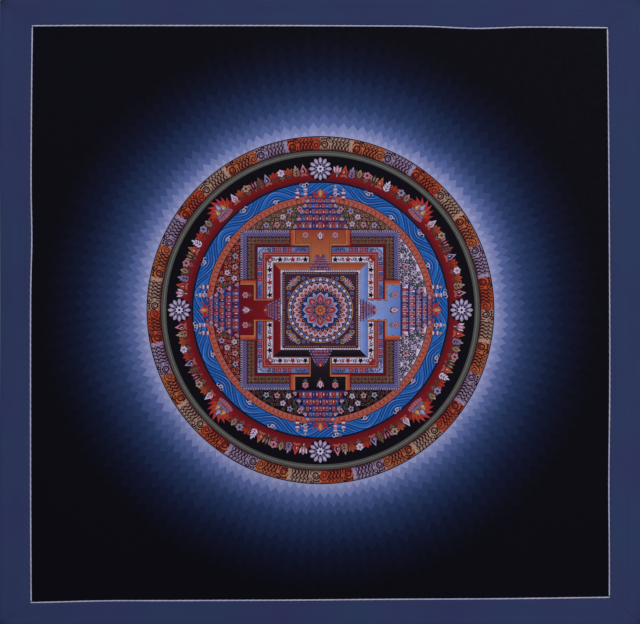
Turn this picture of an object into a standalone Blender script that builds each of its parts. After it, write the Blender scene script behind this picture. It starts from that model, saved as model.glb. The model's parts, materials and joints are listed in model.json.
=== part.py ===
"""A thangka as it hangs: a painted cotton panel, white piping at its edge, and a mitred border of blue cloth.

Metres, +Z up. The painted side faces -Y, and the origin is the middle of the cloth's top edge, where it is hung.
Each piece is laid out flat by its real sizes, as on a sewing table, and one function then hangs them all.
"""

import math
from collections import namedtuple

import bmesh
import bpy

# Sizes of the whole cloth, along its face
CLOTH_WIDTH = 0.560
CLOTH_HEIGHT = 0.546
CORNER_RADIUS = 0.006
EDGE_DRAWN_IN = 0.0009

# The seam between the painting and the border turns at these four points
SEAM_CORNERS = {  # corner: (across from the middle, down from the top edge)
    "top_left": (-0.2514, 0.0236),
    "top_right": (0.2497, 0.0254),
    "bottom_right": (0.2514, 0.5216),
    "bottom_left": (-0.2519, 0.5258),
}

# The seam was sewn by eye: each side bows outwards, or inwards where the bow is negative, and has one dip inwards.
# dip_at and dip_width are shares of the side's length
Side = namedtuple("Side", "start end bow dip dip_at dip_width")
SIDES = {
    "top": Side("top_left", "top_right", bow=0.0005, dip=0.0017, dip_at=0.77, dip_width=0.06),
    "right": Side("top_right", "bottom_right", bow=0.0009, dip=0.0009, dip_at=0.80, dip_width=0.12),
    "bottom": Side("bottom_right", "bottom_left", bow=-0.0007, dip=0.0008, dip_at=0.88, dip_width=0.09),
    "left": Side("bottom_left", "top_left", bow=0.0008, dip=0.0009, dip_at=0.63, dip_width=0.06),
}

# Thicknesses. Depth 0 is the back of the border cloth, and the canvas lies behind it
GAP = 0.0003
BORDER_THICK = 0.0012
CANVAS_THICK = 0.0012
CANVAS_MARGIN = 0.009
HEM_PLY = 0.0010
HEM_WIDTH = 0.008
HEM_ROUNDING = 0.0004
PIPING_RADIUS = 0.00065

# How the cloth hangs: soft upright folds that open towards the bottom, and corners that curl back
Fold = namedtuple("Fold", "crest_to_crest depth shift")
FOLDS = (
    Fold(crest_to_crest=0.430, depth=0.0022, shift=0.10),
    Fold(crest_to_crest=0.190, depth=0.0009, shift=0.43),
)
FOLD_LEFT_AT_TOP = 0.25
BOTTOM_SWING = 0.0030
CORNER_CURLS = {"top_left": 0.0050, "top_right": 0.0030, "bottom_right": 0.0042, "bottom_left": 0.0025}
CURL_REACH = 0.060

# How finely the pieces are divided
CANVAS_CELLS = 30
SIDE_CELLS = 36
ARC_CELLS = 3
ROUNDING_STEPS = 2
SHARP_ANGLE = math.radians(40)
SAME_PLACE = 1e-6


def outline_corner(corner):
    """An outer corner of the cloth, before it is rounded, as (across, down)."""
    across = -CLOTH_WIDTH / 2 if corner.endswith("left") else CLOTH_WIDTH / 2
    return across, 0.0 if corner.startswith("top") else CLOTH_HEIGHT


def fold_depth(across, down):
    """How far the folds and the swing of the bottom edge bring the cloth forward."""
    fallen = down / CLOTH_HEIGHT
    growth = FOLD_LEFT_AT_TOP + (1 - FOLD_LEFT_AT_TOP) * fallen
    folds = sum(
        fold.depth * math.sin(2 * math.pi * (across / fold.crest_to_crest + fold.shift)) for fold in FOLDS
    )
    return growth * folds + BOTTOM_SWING * fallen**2


def curl_depth(across, down):
    """How far the corners curl back."""
    total = 0.0
    for corner, depth in CORNER_CURLS.items():
        distance = math.dist((across, down), outline_corner(corner))
        total += depth * math.exp(-((distance / CURL_REACH) ** 2))
    return total


def hang(across, depth, down):
    """The place in the room of a point of the flat cloth."""
    forward = fold_depth(across, down) - fold_depth(0.0, 0.0) - curl_depth(across, down)
    return across, depth - forward, -down


def between(start, end, share):
    """The point this share of the way from start to end."""
    return tuple(a + (b - a) * share for a, b in zip(start, end))


def seam_point(side, share, offset=0.0):
    """A point of the seam, or of a line this much further out, at this share of the side."""
    start, end = SEAM_CORNERS[side.start], SEAM_CORNERS[side.end]
    length = math.dist(start, end)
    outward = ((end[1] - start[1]) / length, (start[0] - end[0]) / length)
    dip = side.dip * math.exp(-(((share - side.dip_at) / side.dip_width) ** 2))
    sway = side.bow * math.sin(math.pi * share) - dip
    across, down = between(start, end, share)
    return across + outward[0] * (sway + offset), down + outward[1] * (sway + offset)


def outline_path(side):
    """The cloth's edge from one mitre to the next: half a rounded corner, the long edge, and half a corner."""
    start, end = outline_corner(side.start), outline_corner(side.end)
    length = math.dist(start, end)
    along = between((0, 0), (end[0] - start[0], end[1] - start[1]), 1 / length)
    inward = (-along[1], along[0])
    half_corner = []
    for step in range(ARC_CELLS + 1):
        angle = math.pi / 4 * (1 + step / ARC_CELLS)
        half_corner.append((CORNER_RADIUS * (1 - math.cos(angle)), CORNER_RADIUS * (1 - math.sin(angle))))
    straight = length - 2 * CORNER_RADIUS
    long_edge = [(CORNER_RADIUS + straight * step / SIDE_CELLS, 0.0) for step in range(1, SIDE_CELLS)]
    other_half = [(length - ahead, inset) for ahead, inset in reversed(half_corner)]
    points = []
    for ahead, inset in half_corner + long_edge + other_half:
        inset += EDGE_DRAWN_IN * math.sin(math.pi * ahead / length) ** 2
        points.append(tuple(start[axis] + along[axis] * ahead + inward[axis] * inset for axis in (0, 1)))
    return points


def moved_verts(geometry):
    return [item for item in geometry if isinstance(item, bmesh.types.BMVert)]


def closed_sheet(rows, front, thick):
    """A flat slab from rows of (across, down) points, with its front face at this depth."""
    slab = bmesh.new()
    verts = [[slab.verts.new((across, front, down)) for across, down in row] for row in rows]
    for upper, lower in zip(verts, verts[1:]):
        for left in range(len(upper) - 1):
            slab.faces.new((upper[left], upper[left + 1], lower[left + 1], lower[left]))
    back = bmesh.ops.extrude_face_region(slab, geom=slab.faces[:], use_keep_orig=True)["geom"]
    bmesh.ops.translate(slab, verts=moved_verts(back), vec=(0, thick, 0))
    return slab


def hung_object(name, slab, material):
    """Hangs a flat slab and makes it a named object."""
    for vert in slab.verts:
        vert.co = hang(*vert.co)
    bmesh.ops.recalc_face_normals(slab, faces=slab.faces[:])
    if slab.calc_volume(signed=True) < 0:
        bmesh.ops.reverse_faces(slab, faces=slab.faces[:])
    mesh = bpy.data.meshes.new(name)
    slab.to_mesh(mesh)
    slab.free()
    mesh.shade_smooth()
    mesh.set_sharp_from_angle(angle=SHARP_ANGLE)
    mesh.materials.append(material)
    bpy.context.collection.objects.link(bpy.data.objects.new(name, mesh))


def painted_canvas(material):
    """The panel, with a margin that runs on under the piping and the border."""
    corners = {}
    for corner, (across, down) in SEAM_CORNERS.items():
        further_down = -CANVAS_MARGIN if corner.startswith("top") else CANVAS_MARGIN
        corners[corner] = (across + math.copysign(CANVAS_MARGIN, across), down + further_down)
    rows = []
    for row in range(CANVAS_CELLS + 1):
        left = between(corners["top_left"], corners["bottom_left"], row / CANVAS_CELLS)
        right = between(corners["top_right"], corners["bottom_right"], row / CANVAS_CELLS)
        rows.append([between(left, right, column / CANVAS_CELLS) for column in range(CANVAS_CELLS + 1)])
    hung_object("painted_canvas", closed_sheet(rows, GAP, CANVAS_THICK), material)


def on_line(item, line):
    """Whether all of an edge's or a face's points lie over this line of the flat cloth."""
    return all(min(math.dist((vert.co.x, vert.co.z), point) for point in line) < SAME_PLACE for vert in item.verts)


def turn_hem(strip, outer_line):
    """Lays a second ply on the back of the strip along its outer edge, where the cloth is turned over."""
    back_edges = [
        edge
        for edge in strip.edges
        if all(abs(vert.co.y) < SAME_PLACE for vert in edge.verts) and on_line(edge, outer_line)
    ]
    back_of_hem = [
        face
        for edge in back_edges
        for face in edge.link_faces
        if all(abs(vert.co.y) < SAME_PLACE for vert in face.verts)
    ]
    ply = bmesh.ops.extrude_face_region(strip, geom=back_of_hem)["geom"]
    bmesh.ops.translate(strip, verts=moved_verts(ply), vec=(0, HEM_PLY, 0))
    bmesh.ops.delete(strip, geom=back_of_hem, context="FACES")


def round_hem(strip, outer_line):
    """Rounds the two long edges of the hem, where the cloth folds over."""
    long_edges = [
        edge
        for edge in strip.edges
        if edge.verts[0].co.y == edge.verts[1].co.y != 0 and on_line(edge, outer_line)
    ]
    bmesh.ops.bevel(
        strip, geom=long_edges, offset=HEM_ROUNDING, segments=ROUNDING_STEPS, profile=0.5, affect="EDGES"
    )


def border_strip(name, side, material):
    """One side of the border: mitred at both ends, and hemmed along its outer edge."""
    start, end = outline_corner(side.start), outline_corner(side.end)
    length = math.dist(start, end)
    outer_line = outline_path(side)
    cells = len(outer_line) - 1
    mitre_gap = GAP / math.sqrt(2)
    for tip, beside in ((0, 1), (cells, cells - 1)):
        reach = math.dist(outer_line[tip], outer_line[beside])
        outer_line[tip] = between(outer_line[tip], outer_line[beside], mitre_gap / reach)
    rows = []
    for index, outer in enumerate(outer_line):
        share = min(max(index / cells, mitre_gap / length), 1 - mitre_gap / length)
        inner = seam_point(side, share, PIPING_RADIUS + GAP)
        inset = (inner[0] - start[0]) * (start[1] - end[1]) + (inner[1] - start[1]) * (end[0] - start[0])
        hem_line = between(outer, inner, HEM_WIDTH * length / inset)
        rows.append((inner, between(inner, hem_line, 0.5), hem_line, outer))
    strip = closed_sheet(rows, -BORDER_THICK, BORDER_THICK)
    turn_hem(strip, outer_line)
    round_hem(strip, outer_line)
    hung_object(name, strip, material)


def piping(name, side, material):
    """A round white cord on the painting, against the border's inner edge."""
    length = math.dist(SEAM_CORNERS[side.start], SEAM_CORNERS[side.end])
    # The level cords run over the corners, and the upright ones stop just short of them
    is_level = side in (SIDES["top"], SIDES["bottom"])
    first_share = (-PIPING_RADIUS if is_level else PIPING_RADIUS + GAP) / length
    curve = bpy.data.curves.new(name, "CURVE")
    curve.dimensions = "3D"
    curve.bevel_depth = PIPING_RADIUS
    curve.bevel_resolution = 1
    curve.use_fill_caps = True
    line = curve.splines.new("POLY")
    line.points.add(SIDE_CELLS)
    for index, point in enumerate(line.points):
        across, down = seam_point(side, first_share + (1 - 2 * first_share) * index / SIDE_CELLS)
        point.co = (*hang(across, -PIPING_RADIUS, down), 1)
    curve.materials.append(material)
    bpy.context.collection.objects.link(bpy.data.objects.new(name, curve))


def cloth_material(name, colour, roughness):
    """A plain matt cloth finish."""
    material = bpy.data.materials.new(name)
    material.use_nodes = True
    shader = material.node_tree.nodes["Principled BSDF"]
    shader.inputs["Base Color"].default_value = (*colour, 1)
    shader.inputs["Roughness"].default_value = roughness
    shader.inputs["Metallic"].default_value = 0
    return material


def main():
    for old in list(bpy.data.objects):
        bpy.data.objects.remove(old, do_unlink=True)
    painted_canvas(cloth_material("painted_canvas", (0.010, 0.011, 0.022), 0.75))
    border_cloth = cloth_material("border_cloth", (0.027, 0.036, 0.105), 0.9)
    white_cotton = cloth_material("piping", (0.42, 0.41, 0.60), 0.8)
    for name, side in SIDES.items():
        border_strip(f"border_{name}", side, border_cloth)
        piping(f"piping_{name}", side, white_cotton)


main()
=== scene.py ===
# %% [markdown]
# # A painted thangka, hung square on
# The real object is a square of cotton canvas with a round mandala painted on it in gouache. A thin white
# piping runs round the painting, and four strips of blue cotton are sewn on as a border. The solids of the
# frame give its size and how it hangs, and everything here is made on top of them, in metres.

import json
import math
from collections import namedtuple
from functools import partial

import bpy
from mathutils import Matrix, Vector

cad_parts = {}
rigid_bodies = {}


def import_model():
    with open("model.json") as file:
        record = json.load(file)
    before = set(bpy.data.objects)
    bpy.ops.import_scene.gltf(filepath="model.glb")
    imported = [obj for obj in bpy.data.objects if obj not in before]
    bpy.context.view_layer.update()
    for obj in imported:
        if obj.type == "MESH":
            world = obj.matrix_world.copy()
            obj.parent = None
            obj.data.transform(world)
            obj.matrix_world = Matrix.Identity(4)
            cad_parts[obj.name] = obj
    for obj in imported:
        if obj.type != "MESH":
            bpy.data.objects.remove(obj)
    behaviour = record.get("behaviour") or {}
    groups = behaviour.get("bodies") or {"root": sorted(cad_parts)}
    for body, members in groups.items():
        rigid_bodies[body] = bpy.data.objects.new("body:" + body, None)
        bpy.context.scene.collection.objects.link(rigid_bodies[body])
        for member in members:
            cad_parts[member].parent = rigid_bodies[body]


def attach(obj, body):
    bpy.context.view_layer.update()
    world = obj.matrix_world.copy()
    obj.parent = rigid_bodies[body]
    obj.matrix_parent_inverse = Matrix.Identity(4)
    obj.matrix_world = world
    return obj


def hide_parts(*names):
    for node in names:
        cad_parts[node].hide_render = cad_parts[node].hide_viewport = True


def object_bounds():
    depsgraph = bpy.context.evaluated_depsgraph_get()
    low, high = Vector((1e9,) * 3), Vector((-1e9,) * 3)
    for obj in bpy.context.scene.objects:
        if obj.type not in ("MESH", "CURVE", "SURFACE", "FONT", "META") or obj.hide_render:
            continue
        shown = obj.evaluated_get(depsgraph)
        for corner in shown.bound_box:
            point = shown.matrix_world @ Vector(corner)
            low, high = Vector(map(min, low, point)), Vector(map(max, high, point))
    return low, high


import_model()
cad_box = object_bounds()

# %% [markdown]
# ## Working by hand, in code
# A Blender operator acts on whatever is selected. So each step first picks the one thing that it works on.
# A grid of quads is the start of every cloth here: its points go from 0 to 1 both ways, and a place
# function says where each one lies, which is how a tailor's flat pattern becomes a hung cloth.

# %% Picking and adding
MAP = "OFBake"  # the map that cloth, piping and paint carry


def pick(*objects):
    """Selects just these objects and makes the first one active."""
    for other in list(bpy.context.selected_objects):
        other.select_set(False)
    for obj in objects:
        obj.select_set(True)
    bpy.context.view_layer.objects.active = objects[0]
    return objects[0]


def added(name):
    """Names what an operator has just added, and its mesh or curve."""
    obj = bpy.context.active_object
    obj.name = obj.data.name = name
    return obj


def edit(*steps):
    """Runs these steps in edit mode with all of the active mesh selected."""
    bpy.ops.object.mode_set(mode="EDIT")
    bpy.ops.mesh.select_all(action="SELECT")
    for step in steps:
        step()
    bpy.ops.object.mode_set(mode="OBJECT")


def apply_modifier(obj, kind, **settings):
    """Adds a modifier with these settings and applies it."""
    pick(obj)
    modifier = obj.modifiers.new(kind.title(), kind)
    for name, value in settings.items():
        setattr(modifier, name, value)
    bpy.ops.object.modifier_apply(modifier=modifier.name)


def grid(name, columns, rows, place):
    """A grid of quads, each point moved to place(across, up), both from 0 to 1."""
    bpy.ops.mesh.primitive_grid_add(x_subdivisions=columns, y_subdivisions=rows, size=1)
    obj = added(name)
    for point in obj.data.vertices:
        point.co = place(point.co.x + 0.5, point.co.y + 0.5)
    return obj


# %% [markdown]
# ## How the cloth hangs
# The cloth isn't a board. Two long soft folds run down it, its bottom edge swings forward a little, and its
# corners curl back. These are the same sums that shaped the solids, so a finer cloth, the piping and every
# dab of paint can all be laid flat first and then hung by one function. A cloth simulation could make folds
# too, but they would not lie where the solids have theirs.

# %% The flat cloth and its folds
CLOTH_WIDTH = cad_box[1].x - cad_box[0].x
CLOTH_HEIGHT = -cad_box[0].z
CORNER_RADIUS = 0.0025
EDGE_DRAWN_IN = 0.0009
SEAM_CORNERS = {  # corner: (across from the middle, down from the top edge)
    "top_left": (-0.2514, 0.0236),
    "top_right": (0.2497, 0.0254),
    "bottom_right": (0.2514, 0.5216),
    "bottom_left": (-0.2519, 0.5258),
}
Side = namedtuple("Side", "start end bow dip dip_at dip_width")
SIDES = {
    "top": Side("top_left", "top_right", bow=0.0005, dip=0.0017, dip_at=0.77, dip_width=0.06),
    "right": Side("top_right", "bottom_right", bow=0.0009, dip=0.0009, dip_at=0.80, dip_width=0.12),
    "bottom": Side("bottom_right", "bottom_left", bow=-0.0007, dip=0.0008, dip_at=0.88, dip_width=0.09),
    "left": Side("bottom_left", "top_left", bow=0.0008, dip=0.0009, dip_at=0.63, dip_width=0.06),
}
Fold = namedtuple("Fold", "crest_to_crest depth shift")
FOLDS = (
    Fold(crest_to_crest=0.430, depth=0.0022, shift=0.10),
    Fold(crest_to_crest=0.190, depth=0.0009, shift=0.43),
)
FOLD_LEFT_AT_TOP = 0.25
BOTTOM_SWING = 0.0030
CORNER_CURLS = {"top_left": 0.0050, "top_right": 0.0030, "bottom_right": 0.0042, "bottom_left": 0.0025}
CURL_REACH = 0.060
print("the cloth is", round(CLOTH_WIDTH, 4), "by", round(CLOTH_HEIGHT, 4))


# %% From the flat cloth to the hung one
def outline_corner(corner):
    """An outer corner of the cloth, before it is rounded, as (across, down)."""
    across = -CLOTH_WIDTH / 2 if corner.endswith("left") else CLOTH_WIDTH / 2
    return across, 0.0 if corner.startswith("top") else CLOTH_HEIGHT


def fold_depth(across, down):
    """How far the folds and the swing of the bottom edge bring the cloth forward."""
    fallen = down / CLOTH_HEIGHT
    growth = FOLD_LEFT_AT_TOP + (1 - FOLD_LEFT_AT_TOP) * fallen
    folds = sum(
        fold.depth * math.sin(math.tau * (across / fold.crest_to_crest + fold.shift)) for fold in FOLDS
    )
    return growth * folds + BOTTOM_SWING * fallen**2


def curl_depth(across, down):
    """How far the corners curl back."""
    total = 0.0
    for corner, depth in CORNER_CURLS.items():
        distance = math.dist((across, down), outline_corner(corner))
        total += depth * math.exp(-((distance / CURL_REACH) ** 2))
    return total


def hang(across, depth, down):
    """The place in the room of a point of the flat cloth."""
    forward = fold_depth(across, down) - fold_depth(0.0, 0.0) - curl_depth(across, down)
    return across, depth - forward, -down


deepest = max(fold_depth(step * CLOTH_WIDTH / 100, CLOTH_HEIGHT) for step in range(-50, 51))
print("deepest fold at the bottom edge", round(deepest, 4))

# %% [markdown]
# ## The seams
# The painting was trimmed and sewn into its border by eye. Each seam is nearly straight, but it bows by less
# than a millimetre and dips once, where the cloth was pulled. One function gives any point of a seam, so the
# canvas, the piping, the border's inner edge and the stitches all keep to the same wavering line.


# %% Points along a seam
def between(start, end, share):
    """The point this share of the way from start to end."""
    return tuple(a + (b - a) * share for a, b in zip(start, end))


def seam_point(side, share, offset=0.0):
    """A point of the seam, or of a line this much further out, at this share of the side."""
    start, end = SEAM_CORNERS[side.start], SEAM_CORNERS[side.end]
    length = math.dist(start, end)
    outward = ((end[1] - start[1]) / length, (start[0] - end[0]) / length)
    dip = side.dip * math.exp(-(((share - side.dip_at) / side.dip_width) ** 2))
    sway = side.bow * math.sin(math.pi * share) - dip
    across, down = between(start, end, share)
    return across + outward[0] * (sway + offset), down + outward[1] * (sway + offset)


def seam_length(side):
    """The length of a seam from corner to corner."""
    return math.dist(SEAM_CORNERS[side.start], SEAM_CORNERS[side.end])


def inside_seams(share_across, share_down, margin):
    """A point of the panel inside the four seams, or up to a margin past them, blended from its edges."""
    shares = {"top": share_across, "right": share_down, "bottom": 1 - share_across, "left": 1 - share_down}
    edges, corners = {}, {}
    for name, share in shares.items():
        past = margin / seam_length(SIDES[name])
        edges[name] = Vector(seam_point(SIDES[name], share * (1 + 2 * past) - past, margin))
    for corner, (across, down) in SEAM_CORNERS.items():
        further_down = -margin if corner.startswith("top") else margin
        corners[corner] = Vector((across + math.copysign(margin, across), down + further_down))
    level = edges["top"].lerp(edges["bottom"], share_down)
    upright = edges["left"].lerp(edges["right"], share_across)
    top = corners["top_left"].lerp(corners["top_right"], share_across)
    bottom = corners["bottom_left"].lerp(corners["bottom_right"], share_across)
    return level + upright - top.lerp(bottom, share_down)


print("painted field", round(seam_length(SIDES["top"]), 4), "by", round(seam_length(SIDES["left"]), 4))

# %% [markdown]
# ## Sums in a material
# A pattern such as a weave is a sum over the place on the cloth. Blender does sums with Math nodes. This
# small class lets such a sum be written as one line: each sign adds one node and wires it up.


# %% Wires
def connect(value, slot):
    """Wires an output to a node's input, or sets the input to a plain value."""
    if isinstance(value, Wire):
        value.tree.links.new(value.socket, slot)
    else:
        slot.default_value = value


class Wire:
    """An output in a node tree. Adding or multiplying it adds a Math node."""

    def __init__(self, socket):
        self.tree, self.socket = socket.id_data, socket

    def math(self, operation, other=0.0):
        """A Math node with this wire and another value."""
        node = self.tree.nodes.new("ShaderNodeMath")
        node.operation = operation
        connect(self, node.inputs[0])
        connect(other, node.inputs[1])
        return Wire(node.outputs[0])

    def __add__(self, other):
        return self.math("ADD", other)

    def __sub__(self, other):
        return self.math("SUBTRACT", other)

    def __mul__(self, other):
        return self.math("MULTIPLY", other)

    def __truediv__(self, other):
        return self.math("DIVIDE", other)

    def node(self, kind, **inputs):
        """A node of this kind with its inputs set or wired, such as Scale=5."""
        node = self.tree.nodes.new(kind)
        for name, value in inputs.items():
            connect(value, node.inputs[name])
        return Wire(node.outputs[0])

    def apart(self):
        """The three numbers of a vector."""
        node = self.tree.nodes.new("ShaderNodeSeparateXYZ")
        connect(self, node.inputs[0])
        return [Wire(output) for output in node.outputs]

    def stretched(self, x, y, z):
        """This place, multiplied by a number along each axis."""
        node = self.tree.nodes.new("ShaderNodeVectorMath")
        node.operation = "MULTIPLY"
        connect(self, node.inputs[0])
        connect((x, y, z), node.inputs[1])
        return Wire(node.outputs[0])

    def noise(self, scale, detail=2.0):
        """Soft random spots at this place, this many to a metre."""
        return self.node("ShaderNodeTexNoise", Vector=self, Scale=scale, Detail=detail)

    def clamped(self):
        """This value, kept from 0 to 1."""
        node = self.math("ADD", 0.0)
        node.socket.node.use_clamp = True
        return node

    def from_front(self):
        """This place as seen from the front: across and up, with no depth."""
        across, _, up = self.apart()
        return self.node("ShaderNodeCombineXYZ", X=across, Y=up)


# %% [markdown]
# ## Colours and groups
# Colours are written as a screen shows them and turned into light values, which is what a shader takes. A
# recipe that several materials share, such as a weave, is a node group with named inputs and outputs. It is
# built once and placed in each of them with its own values.


# %% Colours
def blended(tree, factor, first, second, way="MIX"):
    """Two colours mixed, or the first tinted by the second."""
    node = tree.nodes.new("ShaderNodeMix")
    node.data_type = "RGBA"
    node.blend_type = way
    for slot, value in ((0, factor), (6, first), (7, second)):
        connect(value, node.inputs[slot])
    return Wire(node.outputs[2])


def brightened(colour, times):
    """A colour made this many times as bright, by a wire."""
    grey = times.node("ShaderNodeCombineXYZ", X=times, Y=times, Z=times)
    return blended(times.tree, 1.0, colour, grey, "MULTIPLY")


def linear(hex_colour):
    """A screen colour such as 2e355b as the light values that a shader takes."""
    values = [int(hex_colour[at : at + 2], 16) / 255 for at in (0, 2, 4)]
    curved = [v / 12.92 if v <= 0.04045 else ((v + 0.055) / 1.055) ** 2.4 for v in values]
    return (*curved, 1.0)


def two_toned(share, tones):
    """A colour between two tones, by a wire from 0 to 1."""
    return blended(share.tree, share, linear(tones[0]), linear(tones[1]))


# %% Node groups
def group_of(name, inputs, outputs, build):
    """A node group. build gets its inputs as wires and returns a wire for each output."""
    group = bpy.data.node_groups.new(name, "ShaderNodeTree")
    for label, kind in inputs.items():
        group.interface.new_socket(label, in_out="INPUT", socket_type=kind)
    for label, kind in outputs.items():
        group.interface.new_socket(label, in_out="OUTPUT", socket_type=kind)
    start = group.nodes.new("NodeGroupInput")
    end = group.nodes.new("NodeGroupOutput")
    for wire, slot in zip(build(*[Wire(start.outputs[label]) for label in inputs]), end.inputs):
        connect(wire, slot)
    return group


def placed(group, place, **inputs):
    """The group's node at a place on the object, as a dictionary of its outputs."""
    node = place.tree.nodes.new("ShaderNodeGroup")
    node.node_tree = group
    for name, value in {"Place": place, **inputs}.items():
        connect(value, node.inputs[name])
    return {output.name: Wire(output) for output in node.outputs}


FLOAT, COLOUR, VECTOR = "NodeSocketFloat", "NodeSocketColor", "NodeSocketVector"

# %% [markdown]
# ## Woven cotton
# Both the canvas and the border are plain weave: each thread goes over one and under the next. Two rows of
# rounded ridges, with a chequer that says which is on top, give that as a height. Slubs, which are thicker
# stretches of thread, make faint streaks along both ways of the cloth.


# %% The weave group
CROSSING = 4.0
SLUB_HEIGHT = 0.6
SLUBS_ACROSS, SLUBS_ALONG = (9.0, 900.0, 9.0), (900.0, 9.0, 9.0)


def build_weave(place, threads):
    """Height and streaks of a plain weave with this many threads to a metre."""
    x, y, _ = place.apart()
    warp = (x * threads * math.pi).math("SINE")
    weft = (y * threads * math.pi).math("SINE")
    over = (warp * weft * CROSSING + 0.5).clamped()
    ridges = warp.math("ABSOLUTE") * over + weft.math("ABSOLUTE") * (over * -1.0 + 1.0)
    slubs = (place.stretched(*SLUBS_ACROSS).noise(1.0) + place.stretched(*SLUBS_ALONG).noise(1.0)) * 0.5
    return ridges + slubs * SLUB_HEIGHT, slubs


weave = group_of(
    "plain_weave",
    {"Place": VECTOR, "Threads": FLOAT},
    {"Height": FLOAT, "Slubs": FLOAT},
    build_weave,
)
print("nodes in the weave", len(weave.nodes))

# %% [markdown]
# ## Gouache
# Thangka paint is ground mineral colour in glue, brushed on in thin matt coats. It is never quite even: the
# coat is thicker where the brush turned, and the polished ground lets a hint of the weave through. A painter
# also shades most shapes from one tone to a second, so the group mixes two pigments by a shade that each
# shape carries as an attribute of its points.

# %% The paint group
CANVAS_THREADS = 1900.0
COAT_SPOTS = 210.0
GRAIN_SPOTS = 2600.0
COAT_TONE, GRAIN_TONE = 1.6, 0.8
WEAVE_RISE, COAT_RISE, GRAIN_RISE = 0.35, 1.5, 0.5
PAINT_ROUGHNESS, PAINT_PATCHES = 0.62, 0.25
PAINT_GLOSS = 0.03
PAINT_RELIEF = 0.00006
PIGMENT_UNEVENNESS = 0.22
GROUND_UNEVENNESS = 0.10


def build_gouache(place, pigment, second, shade, unevenness):
    """Colour, roughness and height of a coat of paint."""
    coat = place.noise(COAT_SPOTS, 3.0) - 0.5
    grain = place.noise(GRAIN_SPOTS, 1.0) - 0.5
    uneven = coat * COAT_TONE + grain * GRAIN_TONE
    mixed = blended(place.tree, shade.clamped(), pigment, second)
    colour = brightened(mixed, uneven * unevenness + 1.0)
    woven = placed(weave, place.from_front(), Threads=CANVAS_THREADS)["Height"]
    height = woven * WEAVE_RISE + coat * COAT_RISE + grain * GRAIN_RISE
    return colour, uneven * PAINT_PATCHES + PAINT_ROUGHNESS, height


gouache = group_of(
    "gouache",
    {"Place": VECTOR, "Pigment": COLOUR, "Second": COLOUR, "Shade": FLOAT, "Unevenness": FLOAT},
    {"Colour": COLOUR, "Roughness": FLOAT, "Height": FLOAT},
    build_gouache,
)
print("nodes in the paint", len(gouache.nodes))

# %% [markdown]
# ## A material's frame
# Every material here starts from Object coordinates, which for these pieces are metres in the room, and ends
# in one Principled shader: a colour, a roughness and a bump. Small helpers wire that up.


# %% Starting and finishing a material
def new_material(name):
    """A material, its shader and the place on the object as a wire."""
    material = bpy.data.materials.new(name)
    material.use_nodes = True
    nodes = material.node_tree.nodes
    return material, nodes["Principled BSDF"], Wire(nodes.new("ShaderNodeTexCoord").outputs["Object"])


def wire_up(shader, colour, roughness):
    """Wires a colour and a roughness to the shader."""
    connect(colour, shader.inputs["Base Color"])
    connect(roughness, shader.inputs["Roughness"])


def raise_by(shader, height, strength, depth):
    """Wires a height to the shader as a bump this deep, in metres."""
    bump = height.tree.nodes.new("ShaderNodeBump")
    for value, label in ((strength, "Strength"), (depth, "Distance"), (height, "Height")):
        connect(value, bump.inputs[label])
    connect(Wire(bump.outputs["Normal"]), shader.inputs["Normal"])


def coat_of_paint(shader, place, pigment, second, shade, unevenness):
    """Wires a coat of gouache into a material."""
    coat = placed(gouache, place, Pigment=pigment, Second=second, Shade=shade, Unevenness=unevenness)
    wire_up(shader, coat["Colour"], coat["Roughness"])
    shader.inputs["Specular IOR Level"].default_value = PAINT_GLOSS
    raise_by(shader, coat["Height"], strength=0.35, depth=PAINT_RELIEF)


# %% [markdown]
# ## The pigments
# A thangka painter works with a small box of colours and uses each in many places. Each pigment here has a
# second tone for the shading. The shade attribute is 0 where a shape has none, so one set of materials serves
# flat bands, shaded petals and fine lines.

# %% The box of colours
PIGMENTS = {  # name: (tone, shaded)
    "black": ("0e0b13", "2c1e2b"),
    "navy": ("1c1a44", "383470"),
    "blue": ("1e5caa", "3a84cf"),
    "deep_blue": ("0d2c6c", "1a4a94"),
    "sky": ("5670b2", "98a4d4"),
    "dusk": ("3c5a98", "929ccc"),
    "lilac": ("77688a", "a494b4"),
    "white": ("c8bad2", "a89ec4"),
    "tan": ("90705f", "b6988a"),
    "gold": ("a2704a", "c49a6c"),
    "clay": ("a85a50", "bc7262"),
    "orange": ("a04c30", "b86c46"),
    "rust": ("8c3c28", "b26c4c"),
    "vermilion": ("9c3420", "b85434"),
    "red": ("8c1a1e", "ac383a"),
    "dark_red": ("640e17", "7c1820"),
    "maroon": ("34111c", "561a2a"),
    "plum": ("3a2336", "5c4056"),
    "rose": ("9e586c", "c48c9e"),
    "umber": ("36211e", "553630"),
    "brown": ("5e3c38", "7c584e"),
    "olive": ("4b4b48", "60615a"),
    "pale_olive": ("6c6c64", "8c8c82"),
    "green": ("35503f", "587260"),
}


def mix_pigment(name, tone, shaded):
    """A material of this pigment."""
    material, shader, place = new_material(name)
    painted_shade = place.tree.nodes.new("ShaderNodeAttribute")
    painted_shade.attribute_name = "shade"
    shade = Wire(painted_shade.outputs["Fac"])
    coat_of_paint(shader, place, linear(tone), linear(shaded), shade, PIGMENT_UNEVENNESS)
    return material


PAINTS = {name: mix_pigment(name, *tones) for name, tones in PIGMENTS.items()}
print("pigments", len(PAINTS))

# %% [markdown]
# ## The night ground and the glow
# Round the mandala the dark ground glows from white through blue to black. A painter lays this as rings of
# pointed scales, each ring a tone darker than the last, and each scale mixed and placed by eye. In sums: the
# ring's number comes from the logarithm of the radius, so that scales grow as they go out, and a triangle
# wave over the angle moves each ring's edge in and out. The tone is then read off a ramp. The whole ground is
# a little brighter at the top, as a big hanging under one lamp is.

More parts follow.
